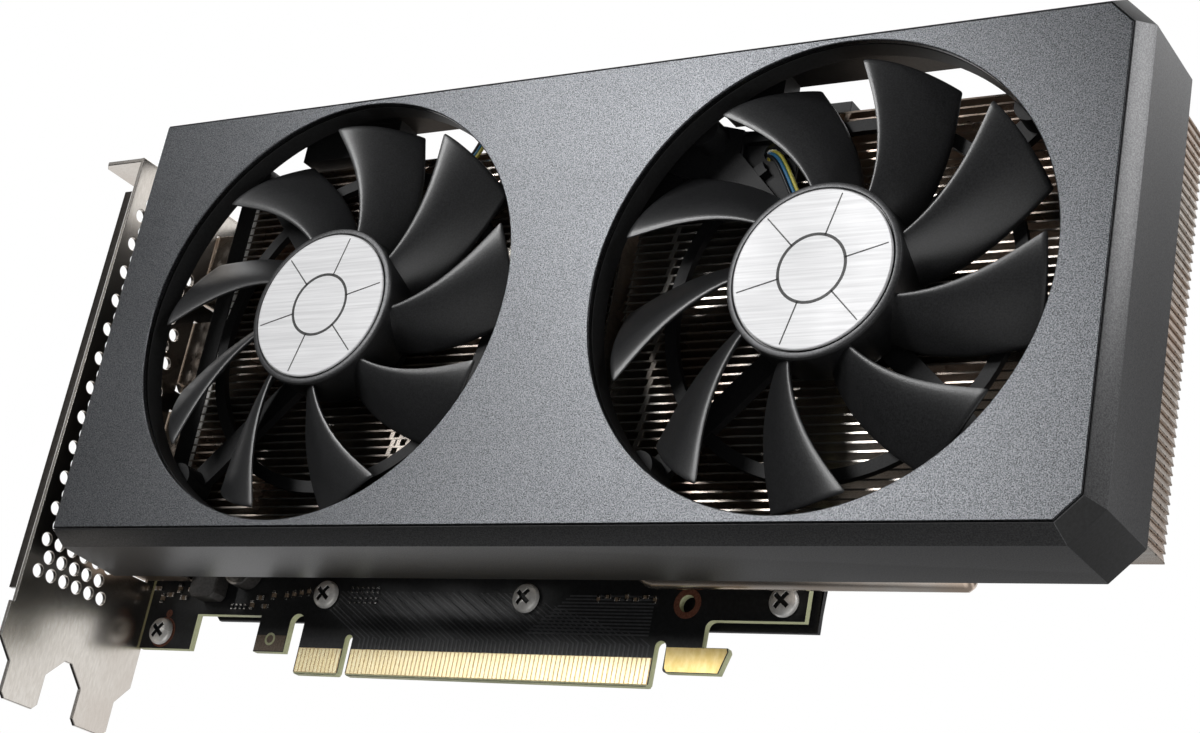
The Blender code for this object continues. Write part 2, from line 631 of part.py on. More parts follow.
def make_fan_frame(side, x):
    """Motor base with arms, screw bosses and a guard ring that is open where the cable passes."""
    base = cylinder(x, FAN_Z, 15.5 * MM, FAN_FRAME_FRONT, FAN_FRAME_BACK, 24)
    arms = [fan_arm(x, angle, FAN_FRAME_FRONT + 0.1 * MM, FAN_FRAME_BACK - 0.1 * MM)
            for angle in ARM_ANGLES]
    guard = ring(x, GUARD_R - 1.2 * MM, GUARD_R + 1.2 * MM, FAN_FRAME_FRONT + 0.3 * MM,
                 FAN_FRAME_BACK - 0.2 * MM, 36)
    cable_angle = radians(CABLE_ANGLES[side])
    gap_x, gap_z = x + GUARD_R * cos(cable_angle), FAN_Z + GUARD_R * sin(cable_angle)
    gap = cylinder(gap_x, gap_z, 3.0 * MM, FAN_FRAME_FRONT - 1 * MM, FAN_FRAME_BACK + 1 * MM, 12)
    cut(guard, gap)
    bosses = []
    for angle in ARM_ANGLES:
        bx, bz = x + BOSS_RADIUS * cos(radians(angle)), FAN_Z + BOSS_RADIUS * sin(radians(angle))
        bosses.append(cylinder(bx, bz, BOSS_R, COLLAR_BACK + 0.6 * MM, FAN_FRAME_BACK + 0.5 * MM, 14))
    join(base, guard, *arms, *bosses)
    if side == "right":
        join(base, prism(CABLE_WEB, FAN_FRAME_FRONT + 0.1 * MM, FAN_FRAME_BACK - 0.1 * MM))
    finish(base, f"fan_frame_{side}", "fan_plastic")


def blade_section(x, share, phase_deg):
    """Ring of points round the blade at a share of the way from hub to tip."""
    root_r = HUB_R - 0.8 * MM
    radius = root_r + (TIP_R - root_r) * share
    lead_angle = phase_deg - BLADE_SWEEP_DEG * (1 - share) ** 1.15
    thick = BLADE_T * (1 - 0.35 * share)
    steps = 4
    front, back = [], []
    for i in range(steps + 1):
        chord = i / steps
        angle = radians(lead_angle - BLADE_WIDTH_DEG * chord)
        y = LEADING_Y + (TRAILING_Y - LEADING_Y - thick) * (0.2 * chord + 0.8 * (1 - cos(chord * pi / 2)))
        place = (x + radius * cos(angle), FAN_Z + radius * sin(angle))
        front.append((place[0], y, place[1]))
        back.append((place[0], y + thick, place[1]))
    return front + back[::-1]


def make_rotor(name, x, phase):
    """Hub cup open to the back with nine swept blades joined to its wall."""
    hub = cylinder(x, FAN_Z, HUB_R, ROTOR_FRONT, ROTOR_BACK, 36)
    blades = []
    for i in range(BLADES):
        phase_deg = phase + i * 360 / BLADES
        blades.append(loft([blade_section(x, share, phase_deg) for share in (0, 0.2, 0.45, 0.72, 1)]))
    join(hub, *blades)
    recess = cylinder(x, FAN_Z, DISC_R + 0.25 * MM, ROTOR_FRONT - 1 * MM, ROTOR_WEB_FRONT, 36)
    cup = cylinder(x, FAN_Z, HUB_R - HUB_WALL, ROTOR_WEB_BACK, ROTOR_BACK + 1 * MM, 36)
    cut(hub, recess, cup)
    finish(hub, name, "fan_plastic", origin=(x, 0, FAN_Z), smooth_deg=35)


def make_motor(side, x):
    origin = (x, 0, FAN_Z)
    disc = cylinder(x, FAN_Z, DISC_R, PLATE_FRONT, ROTOR_WEB_FRONT - GAP, 36)
    finish(disc, f"hub_disc_{side}", "hub_disc", origin=origin, smooth_deg=35)
    shaft = cylinder(x, FAN_Z, SHAFT_R, ROTOR_WEB_BACK + GAP, FAN_FRAME_FRONT - 0.8 * MM, 24)
    finish(shaft, f"shaft_{side}", "screw_steel", origin=origin, smooth_deg=35)
    magnet = ring(x, 13.3 * MM, HUB_R - HUB_WALL - GAP, ROTOR_WEB_BACK + GAP, ROTOR_BACK - 0.4 * MM, 24)
    finish(magnet, f"magnet_ring_{side}", "magnet", origin=origin)
    bore = (SHAFT_R + SHAFT_CLEARANCE) / cos(pi / 24)
    bearing = ring(x, bore, 2.7 * MM, ROTOR_WEB_BACK + 0.8 * MM, FAN_FRAME_FRONT - GAP, 24)
    finish(bearing, f"bearing_{side}", "copper")
    stator = ring(x, 3.1 * MM, 12.4 * MM, ROTOR_WEB_BACK + 0.8 * MM, FAN_FRAME_FRONT - GAP, 24)
    finish(stator, f"stator_{side}", "copper")


def smooth_route(points, spacing):
    """Points a spacing apart on a smooth curve through the given ones."""
    ends = [2 * points[0] - points[1]] + points + [2 * points[-1] - points[-2]]
    route = []
    for i in range(1, len(ends) - 2):
        before, start, end, after = ends[i - 1:i + 3]
        steps = max(1, round((end - start).length / spacing))
        for k in range(steps):
            t = k / steps
            slope = (end - before) * t
            bend = (2 * before - 5 * start + 4 * end - after) * t * t
            twist = (3 * start - before - 3 * end + after) * t * t * t
            route.append(0.5 * (2 * start + slope + bend + twist))
    return route + [points[-1]]


def cable_points(side):
    """Points from the motor base, through the gap in the guard ring, to the plug on the board."""
    lane = (FAN_FRAME_FRONT + FAN_FRAME_BACK) / 2
    x = FAN_X[0] if side == "left" else FAN_X[1]
    angle = radians(CABLE_ANGLES[side])
    points = [Vector((x + r * MM * cos(angle), lane, FAN_Z + r * MM * sin(angle))) for r in (16.2, 24, 34)]
    plug_x, plug_z = PLUGS[side]
    if side == "left":
        points += [Vector((plug_x - 2.5 * MM, lane, 102.0 * MM)),
                   Vector((plug_x - 0.5 * MM, lane, 105.0 * MM)),
                   Vector((plug_x, -22 * MM, 106.0 * MM)), Vector((plug_x, -12 * MM, 106.0 * MM)),
                   Vector((plug_x, -4.6 * MM, 104.9 * MM)),
                   Vector((plug_x, -3.6 * MM, plug_z + PLUG_SIZE / 2 + 2 * GAP))]
    else:
        points += [Vector((plug_x + 2 * MM, -23 * MM, plug_z + 1 * MM)), Vector((plug_x, -17 * MM, plug_z)),
                   Vector((plug_x, PLUG_FRONT - GAP, plug_z))]
    return points


def make_cable(side):
    """The motor's leads as one round bundle."""
    route = smooth_route(cable_points(side), 3 * MM)
    curve = bpy.data.curves.new(f"fan_cable_{side}", "CURVE")
    curve.dimensions = "3D"
    curve.bevel_depth = CABLE_R
    curve.bevel_resolution = 1
    curve.use_fill_caps = True
    spline = curve.splines.new("POLY")
    spline.points.add(len(route) - 1)
    for point, place in zip(spline.points, route):
        point.co = (*place, 1.0)
    cable = bpy.data.objects.new(f"fan_cable_{side}", curve)
    bpy.context.collection.objects.link(cable)
    curve.materials.append(material("cable", *FINISH["cable"]))


def make_plug(side):
    """Board-side plug of a fan cable, with a keying rib."""
    x, z = PLUGS[side]
    half = PLUG_SIZE / 2
    back = BOARD_FRONT - GAP
    body = box(x - half - 1 * MM, x + half + 1 * MM, PLUG_FRONT, back, z - half, z + half)
    rib = box(x - 1.5 * MM, x + 1.5 * MM, PLUG_FRONT + 1.5 * MM, back, z - half - 0.7 * MM, z)
    finish(join(body, rib), f"fan_plug_{side}", "black_plastic")


def build():
    for old in list(bpy.data.objects):
        bpy.data.objects.remove(old, do_unlink=True)
    make_board()
    make_bracket()
    for i, z in enumerate(SOCKET_Z):
        make_socket(f"displayport_{i + 1}", z, SOCKET_W, 1.6 * MM)
    make_socket("hdmi", HDMI_Z, HDMI_W, 2.2 * MM)
    make_backplate()
    make_processor()
    make_memory()
    make_chokes()
    make_power_connector()
    make_screws()
    make_heat_pipes()
    make_fin_stacks()
    make_cold_plate()
    make_cooler_frame()
    make_front_plate()
    make_shroud_frame()
    for side, x, phase in zip(("left", "right"), FAN_X, TIP_PHASE_DEG):
        make_fan_frame(side, x)
        make_cable(side)
        make_plug(side)
        make_rotor(f"rotor_{side}", x, phase)
        make_motor(side, x)


build()
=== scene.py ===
"""Graphics card: the looks of a dual-fan card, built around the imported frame."""

from contextlib import contextmanager
from math import cos, pi, radians, sin, sqrt, tau

import bmesh
import bpy
from mathutils import Matrix, Vector


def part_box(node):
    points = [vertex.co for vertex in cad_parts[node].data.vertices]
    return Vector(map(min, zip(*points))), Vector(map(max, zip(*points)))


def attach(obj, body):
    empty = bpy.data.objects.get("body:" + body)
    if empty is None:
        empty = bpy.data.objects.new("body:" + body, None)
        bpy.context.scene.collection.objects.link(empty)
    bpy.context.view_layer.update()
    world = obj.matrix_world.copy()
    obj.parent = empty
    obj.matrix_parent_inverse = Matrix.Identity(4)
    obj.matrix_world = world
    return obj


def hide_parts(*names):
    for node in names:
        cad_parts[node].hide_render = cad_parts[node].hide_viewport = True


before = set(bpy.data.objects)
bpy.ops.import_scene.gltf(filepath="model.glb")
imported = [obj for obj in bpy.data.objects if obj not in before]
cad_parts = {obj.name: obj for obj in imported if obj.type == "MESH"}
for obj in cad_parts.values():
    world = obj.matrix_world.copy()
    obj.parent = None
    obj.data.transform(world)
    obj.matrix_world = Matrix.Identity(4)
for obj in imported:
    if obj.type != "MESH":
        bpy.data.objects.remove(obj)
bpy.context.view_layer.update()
MM = 0.001
CARD = "card"


# ------------------------------------------------------------------ places from the CAD

def low(node):
    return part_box(node)[0]


def high(node):
    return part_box(node)[1]


def middle(node):
    return (low(node) + high(node)) / 2


def middle_xz(node):
    return middle(node).x, middle(node).z


FAN_Z = middle("hub_disc_left").z
FAN_X = {"left": middle("hub_disc_left").x, "right": middle("hub_disc_right").x}
BOARD_FRONT = low("pcb").y
BOARD_BACK = high("pcb").y
PLATE_FRONT = low("front_plate").y
PLATE_T = high("front_plate").y - PLATE_FRONT
PLATE_LEFT, PLATE_BOTTOM = low("front_plate").x, low("front_plate").z
PLATE_RIGHT, PLATE_TOP = high("front_plate").x, high("front_plate").z
FRAME_LEFT_BACK = low("shroud_frame").x
OPENING_R = 44.75 * MM
PLATE_CHAMFER = 4.3 * MM
SOCKETS = ["displayport_1", "displayport_2", "displayport_3", "hdmi"]
BOARD_SCREWS = [f"board_screw_{i}" for i in range(1, 5)]
SPRING_SCREWS = [f"spring_screw_{i}" for i in range(1, 5)]


# ------------------------------------------------------------------ materials

def link(tree, a, b):
    tree.links.new(a, b)


def new_material(name):
    made = bpy.data.materials.new(name)
    made.use_nodes = True
    tree = made.node_tree
    shader = tree.nodes["Principled BSDF"]
    place = tree.nodes.new("ShaderNodeTexCoord")
    return made, tree, shader, place.outputs["Object"]


def stretched(tree, place, scale):
    mapping = tree.nodes.new("ShaderNodeMapping")
    mapping.inputs["Scale"].default_value = scale
    link(tree, place, mapping.inputs["Vector"])
    return mapping.outputs["Vector"]


def noise(tree, place, scale, detail=3.0, roughness=0.6):
    texture = tree.nodes.new("ShaderNodeTexNoise")
    texture.inputs["Scale"].default_value = scale
    texture.inputs["Detail"].default_value = detail
    texture.inputs["Roughness"].default_value = roughness
    link(tree, place, texture.inputs["Vector"])
    return texture.outputs["Fac"]


def spread(tree, value, from_low, from_high, to_low, to_high):
    """A value taken from one range to another."""
    node = tree.nodes.new("ShaderNodeMapRange")
    ends = {"From Min": from_low, "From Max": from_high, "To Min": to_low, "To Max": to_high}
    for socket, number in ends.items():
        node.inputs[socket].default_value = number
    link(tree, value, node.inputs["Value"])
    return node.outputs["Result"]


def blend_colors(tree, factor, first, second):
    """first and second are colours or colour sockets."""
    node = tree.nodes.new("ShaderNodeMix")
    node.data_type = "RGBA"
    link(tree, factor, node.inputs["Factor"])
    for socket, value in ((node.inputs[6], first), (node.inputs[7], second)):
        if isinstance(value, tuple):
            socket.default_value = (*value, 1.0)
        else:
            link(tree, value, socket)
    return node.outputs[2]


def bump(tree, shader, height, strength, distance):
    node = tree.nodes.new("ShaderNodeBump")
    node.inputs["Strength"].default_value = strength
    node.inputs["Distance"].default_value = distance
    link(tree, height, node.inputs["Height"])
    link(tree, node.outputs["Normal"], shader.inputs["Normal"])


def grained(name, dark, light, rough, metallic=0.0, grain=2500.0, stretch=(1, 1, 1), depth=0.03 * MM,
            strength=0.5, patch=25.0, patch_color=None, specular=0.5):
    """Fine-grained surface: grain mixes two colours and lifts the surface, patches vary the gloss."""
    made, tree, shader, place = new_material(name)
    fine = noise(tree, stretched(tree, place, stretch), grain)
    broad = noise(tree, place, patch, detail=4.0)
    color = blend_colors(tree, spread(tree, fine, 0.35, 0.65, 0, 1), dark, light)
    if patch_color is not None:
        color = blend_colors(tree, spread(tree, broad, 0.42, 0.62, 0, 1), color, patch_color)
    link(tree, color, shader.inputs["Base Color"])
    link(tree, spread(tree, broad, 0.3, 0.7, rough[0], rough[1]), shader.inputs["Roughness"])
    shader.inputs["Metallic"].default_value = metallic
    shader.inputs["Specular IOR Level"].default_value = specular
    bump(tree, shader, fine, strength, depth)
    return made


# Shroud and fans
plate_grey = grained("plate_grey", (0.026, 0.028, 0.031), (0.158, 0.162, 0.171), (0.27, 0.31),
                     metallic=0.9, grain=4300, depth=0.035 * MM, strength=0.9)
frame_grey = grained("frame_grey", (0.064, 0.064, 0.066), (0.126, 0.126, 0.129), (0.33, 0.37),
                     metallic=0.6, grain=3600, depth=0.025 * MM)
frame_inside = grained("frame_inside", (0.012, 0.012, 0.012), (0.022, 0.022, 0.023), (0.5, 0.6),
                       grain=1800)
fan_black = grained("fan_black", (0.016, 0.016, 0.017), (0.042, 0.043, 0.045), (0.30, 0.38),
                    grain=3600, specular=0.9)
fan_frame_black = grained("fan_frame_black", (0.010, 0.010, 0.011), (0.020, 0.020, 0.021), (0.5, 0.6),
                          grain=2600, specular=0.35)
disc_silver = grained("disc_silver", (0.76, 0.76, 0.77), (0.93, 0.93, 0.94), (0.40, 0.50), metallic=0.25,
                      grain=700, stretch=(0.06, 1, 3.0), depth=0.01 * MM, strength=0.3)
# near-black: the disc's printed ring and spokes, and painted shade in the screws' cross recesses
print_and_painted_recess_shade = grained("print_and_painted_recess_shade", (0.012, 0.012, 0.012), (0.03, 0.03, 0.03), (0.35, 0.5), grain=3000)
hub_rim = grained("hub_rim", (0.075, 0.076, 0.078), (0.12, 0.12, 0.124), (0.3, 0.4), metallic=0.5,
                  grain=3000)
backplate_black = grained("backplate_black", (0.014, 0.014, 0.015), (0.030, 0.030, 0.032), (0.36, 0.5),
                          grain=2400)
magnet_grey = grained("magnet_grey", (0.06, 0.06, 0.06), (0.12, 0.12, 0.12), (0.5, 0.7), metallic=0.4,
                      grain=1500)

# Heatsink and bracket
# painted reflection: the warm patch colour on the fins stands in for copper reflected in the nickel
fin_nickel = grained("fin_nickel", (0.66, 0.61, 0.55), (0.84, 0.81, 0.76), (0.18, 0.32), metallic=0.8,
                     grain=900, stretch=(0.2, 1, 1), depth=0.01 * MM, strength=0.2, patch=35.0,
                     patch_color=(0.66, 0.52, 0.42))
# painted shade: a darker copy of the fin nickel for the folded lips at the right stack's right end, with the
# same painted copper reflection in its warm patches
fin_lip_painted_shade = grained("fin_lip_painted_shade", (0.50, 0.44, 0.39), (0.72, 0.66, 0.60), (0.3, 0.45), metallic=0.8,
                  grain=1400, patch=60, patch_color=(0.60, 0.50, 0.43))
# painted highlight: a near-white matte colour standing in for the glint on lit metal edges
painted_highlight_edge = grained("painted_highlight_edge", (0.88, 0.85, 0.80), (0.98, 0.96, 0.93), (0.35, 0.45), grain=1500)
pipe_nickel = grained("pipe_nickel", (0.72, 0.67, 0.62), (0.88, 0.85, 0.81), (0.14, 0.24), metallic=0.85,
                      grain=700, stretch=(0.15, 1, 1), depth=0.01 * MM, strength=0.15, patch=30,
                      patch_color=(0.72, 0.58, 0.47))
copper = grained("copper", (0.55, 0.25, 0.13), (0.80, 0.42, 0.26), (0.25, 0.4), metallic=1.0, grain=900,
                 stretch=(1, 1, 4))
bracket_steel = grained("bracket_steel", (0.70, 0.655, 0.60), (0.79, 0.75, 0.70), (0.20, 0.30),
                        metallic=1.0, grain=1100, stretch=(1, 2.0, 0.5), depth=0.006 * MM,
                        strength=0.15, patch=14, patch_color=(0.68, 0.61, 0.55))
# painted shade: a darker copy of the bracket steel for the bracket's folded lip
lip_steel_painted_shade = grained("lip_steel_painted_shade", (0.30, 0.27, 0.24), (0.42, 0.39, 0.36), (0.10, 0.16), metallic=1.0,
                    grain=1100, depth=0.006 * MM, strength=0.1)
socket_steel = grained("socket_steel", (0.42, 0.37, 0.32), (0.58, 0.53, 0.48), (0.2, 0.34), metallic=1.0,
                       grain=1200, depth=0.01 * MM, strength=0.2, patch=60,
                       patch_color=(0.36, 0.28, 0.22))
screw_steel = grained("screw_steel", (0.82, 0.80, 0.76), (0.96, 0.95, 0.92), (0.22, 0.32), metallic=0.35,
                      grain=1500, depth=0.02 * MM, strength=0.3)

# Board and what it carries
black_plastic = grained("black_plastic", (0.012, 0.012, 0.012), (0.028, 0.028, 0.029), (0.4, 0.55),
                        grain=2400)
chip_black = grained("chip_black", (0.020, 0.020, 0.022), (0.034, 0.034, 0.036), (0.34, 0.5), grain=2600)
choke_grey = grained("choke_grey", (0.045, 0.042, 0.040), (0.085, 0.080, 0.076), (0.35, 0.5),
                     metallic=0.2, grain=1800)
pad_copper = grained("pad_copper", (0.20, 0.075, 0.045), (0.34, 0.14, 0.09), (0.35, 0.5), metallic=0.3)
gold = grained("gold", (0.94, 0.79, 0.45), (0.98, 0.88, 0.58), (0.28, 0.36), metallic=0.75, grain=900,
               stretch=(3, 1, 0.4), depth=0.01 * MM, strength=0.2)
hook_plating = grained("hook_plating", (0.84, 0.62, 0.22), (0.94, 0.74, 0.34), (0.3, 0.4), metallic=0.7,
                       grain=900, stretch=(1, 1, 0.5), depth=0.01 * MM, strength=0.2)
gold_base = grained("gold_base", (0.74, 0.52, 0.24), (0.88, 0.68, 0.38), (0.35, 0.45), metallic=0.5,
                    grain=1500)
board_core = grained("board_core", (0.58, 0.61, 0.34), (0.78, 0.79, 0.52), (0.5, 0.65), grain=1600,
                     stretch=(1, 6, 1))
board_mask = grained("board_mask", (0.014, 0.015, 0.016), (0.026, 0.027, 0.029), (0.36, 0.42), grain=1400,
                     depth=0.02 * MM, strength=0.25)
trace_mask = grained("trace_mask", (0.070, 0.072, 0.076), (0.105, 0.108, 0.114), (0.34, 0.42),
                     grain=1600)
solder = grained("solder", (0.55, 0.54, 0.52), (0.75, 0.74, 0.72), (0.18, 0.32), metallic=1.0, grain=1800,
                 depth=0.03 * MM)
ceramic = grained("ceramic", (0.16, 0.115, 0.075), (0.27, 0.20, 0.14), (0.4, 0.5))
can_silver = grained("can_silver", (0.42, 0.41, 0.39), (0.62, 0.60, 0.58), (0.25, 0.4), metallic=1.0,
                     grain=1500)
wire_yellow = grained("wire_yellow", (0.80, 0.68, 0.08), (0.95, 0.86, 0.20), (0.35, 0.5))
wire_blue = grained("wire_blue", (0.04, 0.20, 0.42), (0.08, 0.32, 0.58), (0.35, 0.5))
wire_black = grained("wire_black", (0.012, 0.012, 0.012), (0.03, 0.03, 0.03), (0.35, 0.5))


# ------------------------------------------------------------------ mesh helpers

SAME_POINT = 1e-7
FLAT_DEG = 0.5


def put_object(name, data):
    made = bpy.data.objects.new(name, data)
    bpy.context.scene.collection.objects.link(made)
    return made


@contextmanager
def editing(mesh):
    bm = bmesh.new()
    bm.from_mesh(mesh)
    yield bm
    bm.to_mesh(mesh)
    bm.free()


def mesh_object(name, vertices, faces):
    mesh = bpy.data.meshes.new(name)
    mesh.from_pydata(vertices, [], faces)
    with editing(mesh) as bm:
        bmesh.ops.recalc_face_normals(bm, faces=bm.faces)
    return put_object(name, mesh)


def loft(rings):
    """Closed solid through rings of equally many points, with end caps."""
    count = len(rings[0])
    vertices = [tuple(point) for ring in rings for point in ring]
    faces = [list(range(count)), list(range(len(vertices) - count, len(vertices)))]
    for level in range(len(rings) - 1):
        base = level * count
        for i in range(count):
            j = (i + 1) % count
            faces.append([base + i, base + j, base + count + j, base + count + i])
    return mesh_object("solid", vertices, faces)


def prism(outline, start, end, axis="Y"):
    """An outline extruded along one axis: (x, z) along Y, (y, z) along X, (x, y) along Z."""
    place = "XYZ".index(axis)
    return loft([[(*point[:place], along, *point[place:]) for point in outline] for along in (start, end)])


def box(x0, x1, y0, y1, z0, z1):
    return prism([(x0, y0), (x1, y0), (x1, y1), (x0, y1)], z0, z1, "Z")


def circle(center, radius, sides):
    return [(center[0] + radius * cos(tau * i / sides), center[1] + radius * sin(tau * i / sides))
            for i in range(sides)]


def arc(center, radius, start_deg, end_deg, steps):
    return [(center[0] + radius * cos(radians(start_deg + (end_deg - start_deg) * i / steps)),
             center[1] + radius * sin(radians(start_deg + (end_deg - start_deg) * i / steps)))
            for i in range(steps + 1)]


def octagon(a, b, lead):
    """A rectangle from corner a to corner b with its corners cut off."""
    return [(a[0] + lead, a[1]), (b[0] - lead, a[1]), (b[0], a[1] + lead), (b[0], b[1] - lead),
            (b[0] - lead, b[1]), (a[0] + lead, b[1]), (a[0], b[1] - lead), (a[0], a[1] + lead)]


def cylinder(x, z, radius, y0, y1, sides=48):
    return prism(circle((x, z), radius, sides), y0, y1)


def bar_from(x, z, angle, near, far, near_half, far_half, y0, y1):
    """A bar that points away from an axis along Y, between two radii."""
    along, across = Vector((cos(angle), sin(angle))), Vector((-sin(angle), cos(angle)))
    corners = [along * near - across * near_half, along * far - across * far_half,
               along * far + across * far_half, along * near + across * near_half]
    return prism([(x + corner.x, z + corner.y) for corner in corners], y0, y1)


def turned(x, z, profile, sides=96):
    """Solid of revolution about an axis along Y; profile is a closed loop of (radius, y)."""
    vertices, faces = [], []
    count = len(profile)
    for k in range(sides):
        angle = tau * k / sides
        vertices += [(x + r * cos(angle), y, z + r * sin(angle)) for r, y in profile]
    for k in range(sides):
        base, after = k * count, ((k + 1) % sides) * count
        for i in range(count):
            j = (i + 1) % count
            faces.append([base + i, base + j, after + j, after + i])
    made = mesh_object("turned", vertices, faces)
    with editing(made.data) as bm:
        bmesh.ops.remove_doubles(bm, verts=bm.verts, dist=SAME_POINT)
        bmesh.ops.dissolve_degenerate(bm, dist=SAME_POINT / 10, edges=bm.edges)
        bmesh.ops.recalc_face_normals(bm, faces=bm.faces)
    return made


def evaluated_mesh(piece):
    bpy.context.view_layer.update()
    return bpy.data.meshes.new_from_object(piece.evaluated_get(bpy.context.evaluated_depsgraph_get()))


def apply_modifiers(piece):
    mesh = evaluated_mesh(piece)
    piece.modifiers.clear()
    piece.data = mesh
    return piece


def combine(target, tools, operation):
    for tool in tools:
        modifier = target.modifiers.new("combine", "BOOLEAN")
        modifier.operation = operation
        modifier.object = tool
        modifier.solver = "EXACT"
    apply_modifiers(target)
    for tool in tools:
        bpy.data.objects.remove(tool, do_unlink=True)
    return target


def cut(target, *tools):
    return combine(target, tools, "DIFFERENCE")


def unite(target, *tools):
    return combine(target, tools, "UNION")


def soften(piece, width, segments=2, angle=30):
    """Round every edge sharper than the angle."""
    with editing(piece.data) as bm:
        bmesh.ops.remove_doubles(bm, verts=bm.verts, dist=SAME_POINT)
        bmesh.ops.dissolve_limit(bm, angle_limit=radians(FLAT_DEG), verts=bm.verts, edges=bm.edges)
    modifier = piece.modifiers.new("soften", "BEVEL")
    modifier.width = width
    modifier.segments = segments
    modifier.limit_method = "ANGLE"
    modifier.angle_limit = radians(angle)
    return apply_modifiers(piece)


def merge(pieces, name):
    """One object out of many, whose faces keep their materials."""
    vertices, faces, slots, index = [], [], [], []
    for piece in pieces:
        base = len(vertices)
        vertices += [piece.matrix_world @ v.co for v in piece.data.vertices]
        own = piece.data.materials
        for polygon in piece.data.polygons:
            faces.append([base + v for v in polygon.vertices])
            used = own[polygon.material_index] if own else None
            if used not in slots:
                slots.append(used)
            index.append(slots.index(used))
    mesh = bpy.data.meshes.new(name)
    mesh.from_pydata([tuple(v) for v in vertices], [], faces)
    for used in slots:
        mesh.materials.append(used)
    mesh.polygons.foreach_set("material_index", index)
    for piece in pieces:
        bpy.data.objects.remove(piece, do_unlink=True)
    return put_object(name, mesh)


def paint(piece, *materials):
    piece.data.materials.clear()
    for one in materials:
        piece.data.materials.append(one)
    return piece


def repaint(piece, fits):
    """The second material on each face whose centre fits."""
    for polygon in piece.data.polygons:
        if fits(polygon.center):
            polygon.material_index = 1


def finish(piece, name, body=CARD, replaces=None, smooth=14):
    """Name a piece, shade it smooth up to an angle in degrees, set its body, and hide the CAD part it
    replaces.
    """
    piece.name = name
    piece.data.name = name
    if smooth:
        piece.data.shade_smooth()
        piece.data.set_sharp_from_angle(angle=radians(smooth))
    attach(piece, body)
    if replaces:
        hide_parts(replaces)


def sheet(loops, start, end, axis, edge):
    """A flat plate with holes and softened edges; loops are (x, z), (y, z) or (x, y) points."""
    curve = bpy.data.curves.new("sheet", "CURVE")
    curve.dimensions = "2D"
    curve.fill_mode = "BOTH"
    curve.extrude = abs(end - start) / 2 - edge
    curve.bevel_depth = edge
    curve.bevel_resolution = 1
    curve.offset = -edge
    for loop in loops:
        spline = curve.splines.new("POLY")
        spline.points.add(len(loop) - 1)
        for point, (a, b) in zip(spline.points, loop):
            point.co = (a, b, 0, 1)
        spline.use_cyclic_u = True
    made = put_object("sheet", curve)
    mesh = evaluated_mesh(made)
    bpy.data.objects.remove(made, do_unlink=True)
    center = (start + end) / 2
    turn = {"Y": Matrix(((1, 0, 0, 0), (0, 0, -1, center), (0, 1, 0, 0), (0, 0, 0, 1))),
            "X": Matrix(((0, 0, 1, center), (1, 0, 0, 0), (0, 1, 0, 0), (0, 0, 0, 1))),
            "Z": Matrix.Translation((0, 0, center))}[axis]
    mesh.transform(turn)
    with editing(mesh) as bm:
        bmesh.ops.remove_doubles(bm, verts=bm.verts, dist=2 * SAME_POINT)
        bmesh.ops.recalc_face_normals(bm, faces=bm.faces)
    return put_object("sheet", mesh)


def smooth_route(points, spacing):
    """Points a spacing apart on a smooth curve through the given ones."""
    points = [Vector(point) for point in points]
    ends = [2 * points[0] - points[1]] + points + [2 * points[-1] - points[-2]]
    route = []
    for i in range(1, len(ends) - 2):
        before, start, end, after = ends[i - 1:i + 3]
        steps = max(1, round((end - start).length / spacing))
        for k in range(steps):
            t = k / steps
            slope = (end - before) * t
            bend = (2 * before - 5 * start + 4 * end - after) * t * t
            twist = (3 * start - before - 3 * end + after) * t * t * t
            route.append(0.5 * (2 * start + slope + bend + twist))
    return route + [points[-1]]


ROUND_END = [(0.0, 0.45), (0.12, 0.8), (0.4, 1.0)]


def tube(points, radius, sides):
    """Round bar along points; ROUND_END has each end's way in and radius, as shares of the bar's."""
    points = [Vector(point) for point in points]
    normal = None
    rings = []
    for i, point in enumerate(points):
        tangent = (points[min(i + 1, len(points) - 1)] - points[max(i - 1, 0)]).normalized()
        if normal is None:
            normal = tangent.cross(Vector((0.3, 1, 0.2))).normalized()
        normal = (normal - tangent * normal.dot(tangent)).normalized()
        side = tangent.cross(normal)
        shape = [(0, 1.0)]
        if i == 0:
            shape = ROUND_END
        if i == len(points) - 1:
            shape = [(-along, share) for along, share in reversed(ROUND_END)]
        for along, share in shape:
            rings.append([point + tangent * (along * radius)
                          + (normal * cos(tau * k / sides) + side * sin(tau * k / sides)) * (radius * share)
                          for k in range(sides)])
    return loft(rings)


# ------------------------------------------------------------------ shroud

OPENING_SIDES = 160
BEVEL_OUT = PLATE_BOTTOM - low("shroud_frame").z
BEVEL_DEPTH = 4.0 * MM
WALL = 1.8 * MM
WALL_BACK = -16.3 * MM
TOP_WALL_BACK = -22.5 * MM
SEAM = 0.12 * MM
WEB_FRONT = PLATE_FRONT + PLATE_T + 0.3 * MM
WEB_BACK = WEB_FRONT + 1.6 * MM
COLLAR_T, COLLAR_BACK = 1.2 * MM, -33 * MM
POST_R, POST_BACK = 2.6 * MM, -25.3 * MM
RIB_SPANS = [(-55.5 * MM, -31.0 * MM), (47.3 * MM, 60.0 * MM)]
RIB_Y, RIB_Z = (-28.4 * MM, -22.8 * MM), (103.5 * MM, 111.6 * MM)
BEYOND = 10 * MM


def shroud_outline(outset, left):
    right, bottom, top = PLATE_RIGHT + outset, PLATE_BOTTOM - outset, PLATE_TOP + outset
    lead = PLATE_CHAMFER + outset * (2 - sqrt(2))
    return [(left, bottom), (right - lead, bottom), (right, bottom + lead), (right, top - lead),
            (right - lead, top), (left, top)]


def ring_at(outset, left, y):
    return [(x, y, z) for x, z in shroud_outline(outset, left)]


def openings(radius, start, end):
    return [cylinder(x, FAN_Z, radius, start, end, OPENING_SIDES) for x in FAN_X.values()]


